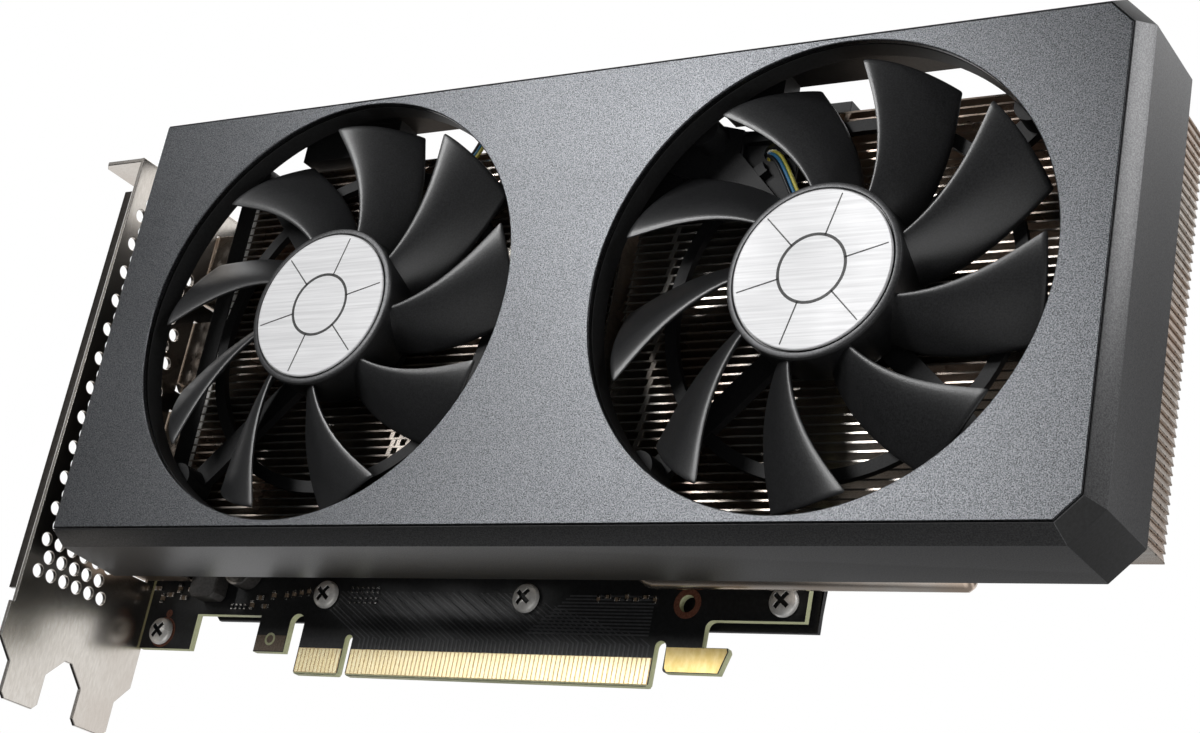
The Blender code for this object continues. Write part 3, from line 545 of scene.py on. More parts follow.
def build_front_plate():
    holes = [circle((x, FAN_Z), OPENING_R, OPENING_SIDES) for x in FAN_X.values()]
    plate = sheet([shroud_outline(0, PLATE_LEFT)] + holes, PLATE_FRONT, PLATE_FRONT + PLATE_T, "Y",
                  0.22 * MM)
    finish(paint(plate, plate_grey), "front_plate_skin", replaces="front_plate")


def build_shroud():
    outer = loft([ring_at(0.3 * MM, PLATE_LEFT, PLATE_FRONT + 0.2 * MM),
                  ring_at(BEVEL_OUT, PLATE_LEFT, PLATE_FRONT + BEVEL_DEPTH),
                  ring_at(BEVEL_OUT, FRAME_LEFT_BACK, WALL_BACK)])
    inset = BEVEL_OUT - WALL
    past_left = PLATE_LEFT - BEYOND
    room = loft([ring_at(inset, PLATE_LEFT + WALL, y) for y in (WEB_BACK, WEB_BACK + 5 * MM)])
    open_end = loft([ring_at(inset, past_left, y) for y in (WEB_BACK + 4 * MM, WALL_BACK + BEYOND)])
    recess = prism(shroud_outline(SEAM, past_left), PLATE_FRONT - 1 * MM, WEB_FRONT)
    top_cut = box(past_left, PLATE_RIGHT - PLATE_CHAMFER, TOP_WALL_BACK, 0, PLATE_TOP - 2 * MM,
                  PLATE_TOP + BEYOND)
    cut(outer, room, open_end, recess, top_cut)
    inside_web = WEB_BACK - 0.5 * MM
    center = (FAN_X["left"] + FAN_X["right"]) / 2
    posts = [cylinder(x, z, POST_R, inside_web, POST_BACK, 32)
             for x, z in ((center, 25 * MM), (center, 103 * MM), (126 * MM, 27 * MM), (126 * MM, 101 * MM))]
    ribs = [box(*span, *RIB_Y, *RIB_Z) for span in RIB_SPANS]
    unite(outer, *ribs, *openings(OPENING_R + COLLAR_T, inside_web, COLLAR_BACK), *posts)
    cut(outer, *openings(OPENING_R, PLATE_FRONT - 1 * MM, COLLAR_BACK + 1 * MM))
    soften(outer, 0.15 * MM, 2, 25)
    paint(outer, frame_grey, frame_inside)
    inner = shroud_outline(inset + 0.4 * MM, past_left)
    right, bottom, top = inner[2][0], inner[0][1], inner[4][1]
    repaint(outer, lambda c: c.y > PLATE_FRONT + 0.8 * MM and c.x < right and bottom < c.z < top)
    finish(outer, "shroud_skin", replaces="shroud_frame")


# ------------------------------------------------------------------ fans

BLADES = 9
HUB_R = 16.8 * MM
DISC_R = 15.3 * MM
TIP_R = 42.0 * MM
LEADING_Y, TRAILING_Y = -37.4 * MM, -29.0 * MM
BLADE_T = 1.1 * MM
BLADE_WIDTH, BLADE_SWEEP = 24.0, 25.0
BLADE_SHARES = [0, 0.08, 0.16, 0.25, 0.34, 0.44, 0.54, 0.64, 0.74, 0.83, 0.91, 0.96, 0.985]
TIP_PHASE = {"left": 22.0, "right": 6.6}
ROTOR_FRONT, ROTOR_BACK = -38.5 * MM, -28.6 * MM
CUP_FRONT, CUP_BACK = -38.0 * MM, -36.9 * MM
DISC_BACK = -38.32 * MM
RING_IN, RING_OUT = 6.2 * MM, 6.75 * MM
SPOKES = 6


def blade_ring(x, share, phase, shrink=1.0):
    """Points round the blade at a share of the way from hub to tip; angles are in degrees."""
    root = HUB_R - 0.8 * MM
    radius = root + (TIP_R - root) * share
    lead = phase - BLADE_SWEEP * (1 - share) ** 1.15
    thick = BLADE_T * (1 - 0.35 * share) * shrink
    steps = 18
    front, back = [], []
    for i in range(steps + 1):
        u = i / steps
        chord = 0.5 - 0.5 * cos(pi * u)
        angle = radians(lead - BLADE_WIDTH * (0.5 + (chord - 0.5) * (0.94 + 0.06 * shrink)))
        camber = 0.2 * chord + 0.8 * (1 - cos(chord * pi / 2))
        y = LEADING_Y + (TRAILING_Y - LEADING_Y - BLADE_T) * camber + BLADE_T / 2
        half = thick / 2 * min(1.0, (4 * u * (1 - u)) ** 0.5 * 1.3)
        place = (x + radius * cos(angle), FAN_Z + radius * sin(angle))
        front.append((place[0], y - half, place[1]))
        if 0 < i < steps:
            back.append((place[0], y + half, place[1]))
    return front + back[::-1]


def build_rotor(side):
    x = FAN_X[side]
    rim = ROTOR_FRONT
    profile = [(HUB_R - 0.55 * MM, rim), (HUB_R - 0.2 * MM, rim + 0.12 * MM),
               (HUB_R - 0.04 * MM, rim + 0.4 * MM), (HUB_R, rim + 0.8 * MM),
               (HUB_R, ROTOR_BACK - 0.4 * MM), (HUB_R - 0.15 * MM, ROTOR_BACK),
               (HUB_R - 1.4 * MM, ROTOR_BACK), (HUB_R - 1.5 * MM, ROTOR_BACK - 0.3 * MM),
               (HUB_R - 1.5 * MM, CUP_BACK), (0.0, CUP_BACK), (0.0, CUP_FRONT),
               (DISC_R + 0.25 * MM, CUP_FRONT), (DISC_R + 0.25 * MM, rim + 0.2 * MM),
               (DISC_R + 0.42 * MM, rim)]
    hub = paint(turned(x, FAN_Z, profile, 128), fan_black, hub_rim)
    repaint(hub, lambda c: c.y < rim + 0.75 * MM and (c.x - x) ** 2 + (c.z - FAN_Z) ** 2 > DISC_R ** 2)
    blades = []
    for i in range(BLADES):
        phase = TIP_PHASE[side] + i * 360 / BLADES
        rings = [blade_ring(x, share, phase) for share in BLADE_SHARES]
        rings += [blade_ring(x, 0.995, phase, 0.7), blade_ring(x, 1.0, phase, 0.3)]
        blades.append(paint(loft(rings), fan_black))
    finish(merge([hub] + blades, "rotor"), f"rotor_skin_{side}", body=f"fan_{side}",
           replaces=f"rotor_{side}", smooth=40)


def build_disc(side):
    """Brushed disc with a plain dark ring and straight spokes let into it."""
    x = FAN_X[side]
    face, line_front = PLATE_FRONT + 0.05 * MM, PLATE_FRONT + 0.01 * MM
    profile = [(0, face), (DISC_R - 0.25 * MM, face), (DISC_R - 0.06 * MM, face + 0.06 * MM),
               (DISC_R, face + 0.2 * MM), (DISC_R, DISC_BACK), (0, DISC_BACK)]
    ring = [(RING_IN, line_front), (RING_OUT, line_front), (RING_OUT, DISC_BACK), (RING_IN, DISC_BACK)]
    parts = [paint(turned(x, FAN_Z, profile, 128), disc_silver),
             paint(turned(x, FAN_Z, ring, 128), print_and_painted_recess_shade)]
    for k in range(SPOKES):
        spoke = bar_from(x, FAN_Z, radians(15 + 360 / SPOKES * k), RING_IN + 0.2 * MM, 14.6 * MM,
                         0.13 * MM, 0.11 * MM, line_front, DISC_BACK)
        parts.append(paint(spoke, print_and_painted_recess_shade))
    finish(merge(parts, "disc"), f"hub_disc_skin_{side}", body=f"fan_{side}",
           replaces=f"hub_disc_{side}")


ARM_ANGLES = [43.0, 133.0, 226.0, 317.0]
ARM_HALF = 2.3 * MM
BOSS_AT, BOSS_R, BOSS_FRONT = 46.4 * MM, 3.2 * MM, -32.4 * MM
MOTOR_BASE_R = 15.5 * MM
GUARD_IN, GUARD_OUT = 32.8 * MM, 35.2 * MM
CABLE_ANGLES = {"left": 62.0, "right": 121.0}
FRAME_FRONT, FRAME_BACK = -27.9 * MM, -25.9 * MM
CABLE_WEB = [(30, 98), (38, 92), (52.5, 85.8), (52.5, 99.7), (47.3, 101.2), (41.2, 104.4), (30, 104)]
CABLE_COVER = [(30, 84.5), (64.0, 84.5), (64.0, 98.0), (60, 99.7), (51, 100.4), (30, 101.5)]
COVER_HOLE, COVER_HOLE_R = (58.6 * MM, 95.2 * MM), 1.9 * MM
CLIP_BARS = [(51.5, 53.0, 89.5, 97.5), (51.5, 62.8, 97.0, 98.4), (61.8, 63.2, 93.6, 98.0)]


def in_mm(outline):
    return [(a * MM, b * MM) for a, b in outline]


def cable_guides():
    """Thin cover behind the right fan's leads and a clip of three bars around them."""
    cover = prism(in_mm(CABLE_COVER), FRAME_BACK - 0.3 * MM, FRAME_BACK + 0.6 * MM)
    cut(cover, cylinder(*COVER_HOLE, COVER_HOLE_R, FRAME_BACK - 1 * MM, FRAME_BACK + 1 * MM, 32))
    bars = [box(x0 * MM, x1 * MM, FRAME_FRONT + 0.3 * MM, FRAME_BACK, z0 * MM, z1 * MM)
            for x0, x1, z0, z1 in CLIP_BARS]
    return [cover] + bars


def build_fan_frame(side):
    x = FAN_X[side]
    base = cylinder(x, FAN_Z, MOTOR_BASE_R, FRAME_FRONT, FRAME_BACK, 64)
    front, back = FRAME_FRONT + 0.1 * MM, FRAME_BACK - 0.1 * MM
    parts = []
    for degrees in ARM_ANGLES:
        angle = radians(degrees)
        parts.append(bar_from(x, FAN_Z, angle, 12 * MM, BOSS_AT, ARM_HALF, ARM_HALF, front, back))
        parts.append(cylinder(x + BOSS_AT * cos(angle), FAN_Z + BOSS_AT * sin(angle), BOSS_R, BOSS_FRONT,
                              FRAME_BACK + 0.5 * MM, 32))
    guard_y = (FRAME_FRONT + 0.3 * MM, FRAME_BACK - 0.2 * MM)
    guard = turned(x, FAN_Z, [(GUARD_IN, guard_y[0]), (GUARD_OUT, guard_y[0]), (GUARD_OUT, guard_y[1]),
                              (GUARD_IN, guard_y[1])])
    gap_angle, gap_at = radians(CABLE_ANGLES[side]), (GUARD_IN + GUARD_OUT) / 2
    cut(guard, cylinder(x + gap_at * cos(gap_angle), FAN_Z + gap_at * sin(gap_angle), 3 * MM, -29 * MM,
                        -25 * MM, 32))
    if side == "right":
        parts.append(prism(in_mm(CABLE_WEB), front, back))
    unite(base, guard, *parts)
    if side == "right":
        unite(base, *cable_guides())
    soften(base, 0.2 * MM, 2, 30)
    finish(paint(base, fan_frame_black), f"fan_frame_skin_{side}",
           replaces=f"fan_frame_{side}")


# ------------------------------------------------------------------ heatsink

FIN_PITCH = 1.72 * MM
FIN_COUNT = 47
FIN_T = 0.36 * MM
FIN_EDGE = 0.05 * MM
FIN_BACK = -6.2 * MM
NOTCH_X, NOTCH_Z = 68.2 * MM, 92.0 * MM
DEEP_LEFT = 72.0 * MM
LOCK_TABS = {
    "left": [(-17.8, 33, 44), (-15.9, 33, 44), (-14.0, 33, 44), (-12.1, 33, 44), (0.8, 72, 84),
             (2.6, 72, 84), (24.3, 23, 103)],
    "right": [(38.9, 23, 92), (69.0, 91, 104), (71.0, 91, 104), (96.0, 28, 42), (98.0, 28, 42)],
}


def fin_lip_at(side, x, lean, z, front, back):
    """The folded edge of a fin, which reaches up to the next one."""
    foot, tip = z + FIN_T * 0.5, z + FIN_PITCH * (0.99 if side == "left" else 0.9)
    slant = 0.0 if side == "left" else 0.34 * MM * lean
    inner = x + lean * 0.4 * MM
    lip = prism([(x, foot), (inner, foot), (inner + slant, tip), (x + slant, tip)],
                front + 0.15 * MM, (back if lean < 0 else FIN_BACK) - 0.1 * MM)
    # painted shade on the right stack's right-end lips, which get the darker copy of the fin nickel
    return paint(lip, fin_lip_painted_shade if lean < 0 else fin_nickel)


def lock_tabs_at(side, i, z, front):
    """Small slanted tabs on the fin's front edge, in columns of (x, lowest z, highest z)."""
    foot, tip = z + FIN_T * 0.5, z + FIN_PITCH * 0.98
    tabs = []
    for column, (x, z_low, z_high) in enumerate(LOCK_TABS[side]):
        if z_low * MM <= z <= z_high * MM:
            x0 = x * MM + (0.5 * MM if (i + column) % 2 else 0.0)
            tabs.append(prism([(x0, foot), (x0 + 1.0 * MM, foot), (x0 + 1.3 * MM, tip), (x0 + 0.3 * MM, tip)],
                              front + 0.02 * MM, front + 0.35 * MM))
    return tabs


def build_fins(side):
    node = f"fin_stack_{side}"
    a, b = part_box(node)
    left, right = a.x, b.x - FIN_EDGE
    front, back, bottom = a.y, b.y, a.z
    parts = []
    for i in range(FIN_COUNT):
        z = bottom + i * FIN_PITCH
        start = NOTCH_X if side == "right" and z + FIN_PITCH > NOTCH_Z else left
        parts.append(box(start + FIN_EDGE, right, front, FIN_BACK, z, z + FIN_T))
        lips = [(start + FIN_EDGE, 1), (right - 0.4 * MM, 1)]
        if side == "right":
            parts.append(box(DEEP_LEFT, right, FIN_BACK - 0.5 * MM, back, z + 0.02 * MM,
                             z + FIN_T - 0.02 * MM))
            lips[1] = (right, -1)
        if i < FIN_COUNT - 1:
            parts += [fin_lip_at(side, x, lean, z, front, back) for x, lean in lips]
            parts += lock_tabs_at(side, i, z, front)
    if side == "left":
        rail_top = bottom + (FIN_COUNT - 1) * FIN_PITCH + FIN_T
        # painted highlight: a near-white strip down the left stack's front left edge stands in for the lit
        # edge of its end plate
        parts.append(paint(box(left + 0.02 * MM, left + 0.75 * MM, front + 0.01 * MM, front + 0.3 * MM,
                               bottom, rail_top), painted_highlight_edge))
    fins = merge([part if part.data.materials else paint(part, fin_nickel) for part in parts], "fins")
    finish(fins, f"fin_skin_{side}", replaces=node, smooth=0)


PIPE_R = 3.0 * MM * 0.97
BEND_START = Vector((20.2, -9.2, 40.5)) * MM
BEND_END = Vector((38.0, -7.4, 19.6)) * MM


def build_pipes():
    """Three straight pipes, and the lowest one, which bends down toward the card's lower edge."""
    routes = {}
    for i in range(2, 5):
        node = f"heat_pipe_{i}"
        _, y, z = middle(node)
        routes[i] = [(low(node).x, y, z), (middle(node).x, y, z), (high(node).x, y, z)]
    steps = 24
    bend = []
    for i in range(steps + 1):
        share = i / steps
        ease = share * share * (3 - 2 * share)
        way = BEND_END - BEND_START
        bend.append(BEND_START + Vector((way.x * share, way.y * ease, way.z * ease)))
    start, end = BEND_START.copy(), BEND_END.copy()
    start.x, end.x = low("heat_pipe_1").x, high("heat_pipe_1").x
    routes[1] = [start] + bend + [end]
    for i, route in routes.items():
        bar = paint(tube(route, PIPE_R, 32), pipe_nickel)
        finish(bar, f"heat_pipe_skin_{i}", replaces=f"heat_pipe_{i}", smooth=40)


def build_cooler_frame():
    a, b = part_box("cooler_frame")
    face = box(a.x, b.x, a.y, a.y + 1.0 * MM, a.z, b.z)
    unite(face, box(b.x - 1.0 * MM, b.x, a.y + 0.5 * MM, b.y, a.z, b.z))
    soften(face, 0.2 * MM)
    finish(paint(face, frame_inside), "cooler_frame_skin", replaces="cooler_frame")


# ------------------------------------------------------------------ bracket and sockets

SLOT_PITCH = 20.32 * MM
BRACKET_T = 0.9 * MM
BRACKET_FRONT = -36.9 * MM
TAB_BACK = -4.0 * MM
TAIL_FRONT, TAIL_W, TAIL_TOP, TAIL_LEAD = -33.8 * MM, 10.1 * MM, -8.4 * MM, 1.2 * MM
SHOULDER = -4.3 * MM
LIP_LENGTH, LIP_BEND_R = 2.0 * MM, 0.95 * MM
LIP_BOTTOM, LIP_TOP = 6 * MM, 96 * MM
SCREW_SLOT_Y, SCREW_SLOT_R = -20.5 * MM, 2.2 * MM
VENT_R, VENT_ROWS = 1.4 * MM, 26
VENT_BOTTOM, VENT_STEP_Z, VENT_STEP_Y = 10.76 * MM, 3.373 * MM, 3.694 * MM
VENT_STARTS = [(-33.3 * MM, 6), (-31.46 * MM, 5)]
WINDOW_MARGIN = 0.35 * MM


def bracket_outline(bottom, top, back):
    shelf = BRACKET_FRONT - BRACKET_T
    points = [(BRACKET_FRONT, top), (BRACKET_FRONT, 3 * MM), (shelf, 3 * MM), (shelf, SHOULDER)]
    for tail in (TAIL_FRONT, TAIL_FRONT + SLOT_PITCH):
        end = tail + TAIL_W
        points += [(tail, TAIL_TOP), (tail, bottom + TAIL_LEAD), (tail + TAIL_LEAD, bottom)]
        points += [(end - TAIL_LEAD, bottom), (end, bottom + TAIL_LEAD), (end, TAIL_TOP)]
        if tail == TAIL_FRONT:
            center = end + (SLOT_PITCH - TAIL_W) / 2
            points += [(center - 1 * MM, SHOULDER), (center + 1 * MM, SHOULDER)]
    return points + [(back, SHOULDER), (back, 100.0 * MM), (TAB_BACK, top)]


def vent_circles(windows):
    """Rows of round vents, leaving out the ones that would touch a socket's window."""
    reach = VENT_R + 0.5 * MM
    vents = []
    for row in range(VENT_ROWS):
        z = VENT_BOTTOM + VENT_STEP_Z * row
        start, columns = VENT_STARTS[row % 2]
        for k in range(columns):
            y = start + VENT_STEP_Y * k
            if all(y + reach < y0 or z + reach < z0 or z - reach > z1 for y0, _, z0, z1 in windows):
                vents.append(circle((y, z), VENT_R, 20)[::-1])
    return vents


def build_bracket():
    a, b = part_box("io_bracket")
    inner, outer = b.x, b.x - BRACKET_T
    windows = []
    for name in SOCKETS:
        c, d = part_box(name + "_shell")
        windows.append((c.y - WINDOW_MARGIN, d.y + WINDOW_MARGIN, c.z - WINDOW_MARGIN, d.z + WINDOW_MARGIN))
    loops = [bracket_outline(a.z, b.z, b.y)]
    loops += [[(y0, z0), (y0, z1), (y1, z1), (y1, z0)] for y0, y1, z0, z1 in windows]
    plate = sheet(loops + vent_circles(windows), outer, inner, "X", 0.12 * MM)

    turn = (inner - LIP_BEND_R, BRACKET_FRONT + LIP_BEND_R)
    lip_end = outer - LIP_LENGTH
    lip = prism(arc(turn, LIP_BEND_R, 0, -90, 8)
                + [(lip_end, BRACKET_FRONT), (lip_end, BRACKET_FRONT + BRACKET_T)]
                + arc(turn, LIP_BEND_R - BRACKET_T, -90, 0, 4), LIP_BOTTOM, LIP_TOP, "Z")
    soften(lip, 0.12 * MM, 2, 40)
    # painted shade: the lip gets a darker copy of the bracket steel, and the faces on its bend get a painted
    # highlight
    paint(lip, lip_steel_painted_shade, painted_highlight_edge)
    repaint(lip, lambda c: c.x > outer - 0.1 * MM)

    far, lead = a.x, 1.5 * MM
    tab_loop = [(inner, BRACKET_FRONT), (inner, TAB_BACK), (far, TAB_BACK),
                (far, SCREW_SLOT_Y + SCREW_SLOT_R)]
    tab_loop += arc((outer - 6.5 * MM, SCREW_SLOT_Y), SCREW_SLOT_R, 90, -90, 12)
    tab_loop += [(far, SCREW_SLOT_Y - SCREW_SLOT_R), (far, BRACKET_FRONT + lead), (far + lead, BRACKET_FRONT)]
    tab = sheet([tab_loop], b.z - BRACKET_T, b.z, "Z", 0.15 * MM)
    bracket = merge([paint(plate, bracket_steel), lip, paint(tab, bracket_steel)], "bracket")
    finish(bracket, "bracket_skin", replaces="io_bracket")


SHELL_T = 0.5 * MM
LATCH_HALF, LATCH_BAR, LATCH_LENGTH = 1.1 * MM, 0.4 * MM, 2.1 * MM


def build_socket(name):
    """Metal shell, open to the outside, with two latches and a seam raised on its front."""
    node = name + "_shell"
    a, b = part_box(node)
    lead = 2.2 * MM if name == "hdmi" else 1.6 * MM
    outline = [(a.y, a.z + lead), (a.y, b.z), (b.y, b.z), (b.y, a.z), (a.y + lead, a.z)]
    shell = prism(outline, a.x, b.x, "X")
    _, my, mz = middle(node)
    inside = [(y + (SHELL_T if y < my else -SHELL_T), z + (SHELL_T if z < mz else -SHELL_T))
              for y, z in outline]
    cut(shell, prism(inside, a.x - 1 * MM, b.x - 2 * MM, "X"))
    parts = [soften(shell, 0.15 * MM)]
    x = b.x - 6.8 * MM
    for z in (a.z + 4.2 * MM, b.z - 4.2 * MM):
        z0, z1 = z - LATCH_HALF, z + LATCH_HALF
        for bar in ((x, x + 0.45 * MM, z0, z1), (x, x + LATCH_LENGTH, z0, z0 + LATCH_BAR),
                    (x, x + LATCH_LENGTH, z1 - LATCH_BAR, z1)):
            parts.append(soften(box(*bar[:2], a.y - 0.14 * MM, a.y + 0.2 * MM, *bar[2:]), 0.06 * MM, 1))
    seam = box(b.x - 9.5 * MM, b.x - 8.6 * MM, a.y - 0.10 * MM, a.y + 0.2 * MM, a.z + 1.8 * MM,
               b.z - 1.2 * MM)
    parts.append(soften(seam, 0.05 * MM, 1))
    finish(paint(merge(parts, "socket"), socket_steel), f"{name}_skin", replaces=node)


# ------------------------------------------------------------------ board

TONGUES = [(-49.4 * MM, 11.65 * MM, 11), (-35.85 * MM, 71.65 * MM, 71)]
CONTACT_TOP = 5.5 * MM
KEY_NOTCH_X = -36.8 * MM
SCREW_HOLE_R = 1.7 * MM
SPARE_HOLE = (41.2 * MM, 16.0 * MM)
TAB_HOLE = (-57.5 * MM, 7.1 * MM)
COPPER_SPOT = (-87.3 * MM, 12.1 * MM)
SUNK = 0.02 * MM


def board_outline():
    """Lower edge from left to right with its notches, then the two upper corners."""
    notch_half = 0.95 * MM
    tongue_left, tongue_right = KEY_NOTCH_X - 12.6 * MM, KEY_NOTCH_X + 72.6 * MM
    left, right, top = low("pcb").x, high("pcb").x, high("pcb").z
    foot, edge, lead, slot_r = 4.4 * MM, 12.1 * MM, 0.5 * MM, 1.9 * MM
    hook = tongue_right + 2.4 * MM
    points = [(left, foot), (-79.1 * MM, foot), (-79.1 * MM, edge), (-61.4 * MM, edge)]
    points += [(-61.4 * MM, foot), (tongue_left - 2 * slot_r, foot)]
    points += arc((tongue_left - slot_r, 10.7 * MM), slot_r, 180, 0, 14)
    points += [(tongue_left, lead), (tongue_left + lead, 0)]
    points += [(KEY_NOTCH_X - notch_half - lead, 0), (KEY_NOTCH_X - notch_half, lead)]
    points += arc((KEY_NOTCH_X, 7.5 * MM), notch_half, 180, 0, 10)
    points += [(KEY_NOTCH_X + notch_half, lead), (KEY_NOTCH_X + notch_half + lead, 0)]
    points += [(tongue_right - lead, 0), (tongue_right, lead)]
    points += arc((tongue_right + 1.2 * MM, 7.6 * MM), 1.2 * MM, 180, 0, 10)
    points += [(hook, 3.5 * MM)] + arc((hook + 0.8 * MM, 3.6 * MM), 0.8 * MM, 190, 270, 5)
    points += in_mm([(50.2, 2.8), (51.6, 7.0), (51.3, 7.7), (45.9, 7.7)])
    points += arc((47.4 * MM, 11.4 * MM), 1.5 * MM, 180, 90, 6)
    return points + [(right, 12.9 * MM), (right, top), (left, top)]


def build_board():
    holes = [middle_xz(node) for node in BOARD_SCREWS + SPRING_SCREWS] + [SPARE_HOLE]
    loops = [board_outline()] + [circle(hole, SCREW_HOLE_R, 32)[::-1] for hole in holes]
    loops.append(circle(TAB_HOLE, 0.8 * MM, 24)[::-1])
    board = sheet(loops, BOARD_FRONT, BOARD_BACK, "Y", 0.06 * MM)
    paint(board, board_mask, board_core)
    for polygon in board.data.polygons:
        if abs(polygon.normal.y) < 0.5:
            polygon.material_index = 1
    finish(board, "board_skin", replaces="pcb", smooth=0)


def thin_patch(outline, material, thick=0.05 * MM):
    """A thin layer that stands on the board's front face."""
    return paint(prism(outline, BOARD_FRONT - thick, BOARD_FRONT + SUNK), material)


def ring_patch(center, inner, outer, material):
    front, back = BOARD_FRONT - 0.08 * MM, BOARD_FRONT + SUNK
    profile = [(inner, front), (outer, front), (outer, back), (inner, back)]
    return paint(turned(*center, profile, 40), material)


def layer(face, outward, start, end):
    """The y span between two heights over a face of the board."""
    return sorted((face + outward * start, face + outward * end))


def build_contacts():
    pad_half, strip_top = 0.36 * MM, 0.4 * MM
    parts = []
    for left, width, count in TONGUES:
        ends = left + 0.25 * MM, left + width - 0.25 * MM
        first = left + width / 2 - (count - 1) / 2 * MM
        for face, outward in ((BOARD_FRONT, -1), (BOARD_BACK, 1)):
            skin = layer(face, outward, 0, 0.02 * MM)
            pad = layer(face, outward, 0.01 * MM, 0.05 * MM)
            parts.append(paint(box(*ends, *skin, strip_top, CONTACT_TOP), gold_base))
            parts.append(paint(box(*ends, *skin, 0.1 * MM, strip_top), board_core))
            for k in range(count):
                x = first + k * MM
                parts.append(paint(box(x - pad_half, x + pad_half, *pad, strip_top + 0.1 * MM,
                                       CONTACT_TOP - 0.1 * MM), gold))
    finish(merge(parts, "contacts"), "edge_contacts", smooth=0)
    hook = [(38.6, 3.6), (39.2, 2.95), (50.0, 2.95), (51.35, 7.0), (51.1, 7.6), (38.35, 7.6)]
    finish(thin_patch(in_mm(hook), hook_plating), "hook_gold", smooth=0)
    tab = thin_patch(in_mm([(-61.2, 4.6), (-53.4, 4.6), (-53.4, 7.9), (-61.2, 7.9)]), ceramic)
    tab_ring = ring_patch(TAB_HOLE, 0.85 * MM, 1.35 * MM, board_core)
    finish(merge([tab, tab_ring], "tab"), "tab_pad", smooth=0)


def build_traces():
    """Bent lanes that rise from the contacts, and a block of level ones above them."""
    thick, pitch, width, lanes = 0.045 * MM, 1.05 * MM, 0.42 * MM, 66
    parts = []
    for k in range(lanes):
        x = -34.0 * MM + k * pitch
        bend = 7.6 * MM + (k % 4) * 0.25 * MM
        reach = min(17.6 * MM, 8.6 * MM + (lanes - k) * 0.55 * MM)
        run = reach - bend
        shift = run * 1.6
        lane = [(x, CONTACT_TOP), (x + width, CONTACT_TOP), (x + width, bend), (x + width - shift, reach),
                (x - shift, reach), (x, bend)]
        if run > 0.6 * MM:
            parts.append(thin_patch(lane, trace_mask, thick))
    for k in range(12):
        left, z = (6 + k * 0.8) * MM, (9.6 + k * 0.68) * MM
        lane = [(left, z), (34 * MM, z), (34 * MM, z + 0.3 * MM), (left, z + 0.3 * MM)]
        parts.append(thin_patch(lane, trace_mask, thick * 1.3))
    finish(merge(parts, "traces"), "board_traces", smooth=0)


def small_part(x, z, length, width, height, body, upright):
    """A two-ended surface part: a body between two soldered ends."""
    front, half, lap, skin = BOARD_FRONT - height, length / 2, 0.15 * MM, 0.04 * MM
    end = half - length * 0.24

    def block(start, stop, side, face):
        a, b = (start, stop), (-side, side)
        (x0, x1), (z0, z1) = (b, a) if upright else (a, b)
        return box(x + x0, x + x1, face, BOARD_FRONT, z + z0, z + z1)

    parts = [paint(soften(block(-half, half, width / 2, front), 0.06 * MM, 1), body)]
    for start, stop in ((-half - lap, -end), (end, half + lap)):
        cap = block(start, stop, width / 2 + skin, front - skin)
        parts.append(paint(soften(cap, 0.05 * MM, 1), solder))
    return parts


def build_small_parts():
    """Groups of small parts: places in mm with a flag for upright ones, then size and colour."""
    scattered = [(-92.0, 17.6, False), (-90.2, 15.4, True), (-88.0, 16.2, False), (-85.8, 17.6, True),
                 (-84.0, 15.6, False), (-82.2, 17.4, False), (-64.4, 14.2, True), (-62.4, 15.8, False),
                 (-60.6, 14.0, False), (-59.0, 16.4, True)]
    groups = [
        (scattered, (1.7, 0.85, 0.6), ceramic),
        ([(-55.6 + k * 1.9, 16.4 + 0.3 * k, True) for k in range(5)], (1.5, 0.75, 0.5), ceramic),
        ([(-38.6 + k * 1.35, 15.6 + row * 2.2, True) for row in range(2) for k in range(6)],
         (1.1, 0.55, 0.35), chip_black),
        ([(21.5 + k * 2.1, 16.6 + 0.5 * (k % 2), k % 3 == 0) for k in range(7)],
         (1.2, 0.65, 0.4), ceramic),
        ([(-70.0 + k * 1.2, 13.9, True) for k in range(4)], (0.9, 0.5, 0.3), chip_black),
    ]
    parts = []
    for places, size, body in groups:
        for x, z, upright in places:
            parts += small_part(x * MM, z * MM, *(side * MM for side in size), body, upright)
    finish(merge(parts, "small"), "board_parts", smooth=0)
    rings = [ring_patch(middle_xz("board_screw_1"), 1.75 * MM, 3.3 * MM, pad_copper),
             ring_patch(SPARE_HOLE, SCREW_HOLE_R, 2.9 * MM, pad_copper),
             ring_patch(middle_xz("board_screw_2"), 1.75 * MM, 3.2 * MM, board_mask),
             ring_patch(COPPER_SPOT, 0.02 * MM, 0.85 * MM, pad_copper)]
    finish(merge(rings, "rings"), "hole_rings", smooth=0)


def build_round_choke(node):
    """A can whose bright lid stands a little below its rim."""
    a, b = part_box(node)
    radius, lid = (b.x - a.x) / 2, a.y + 0.15 * MM
    profile = [(0, b.y), (radius, b.y), (radius, a.y + 0.5 * MM), (radius - 0.1 * MM, lid),
               (radius - 0.5 * MM, a.y), (radius - 0.7 * MM, lid), (0, lid)]
    can = paint(turned(*middle_xz(node), profile, 64), choke_grey, can_silver)
    repaint(can, lambda c: c.y < a.y + 0.3 * MM)
    return can


def build_chokes():
    for i in range(1, 5):
        node = f"choke_{i}"
        a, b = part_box(node)
        if i == 2:
            body = build_round_choke(node)
        else:
            outline = octagon((a.x, a.z), (b.x, b.z), 1.0 * MM)
            body = paint(soften(prism(outline, a.y, b.y), 0.3 * MM), choke_grey)
        finish(body, f"choke_skin_{i}", replaces=node)


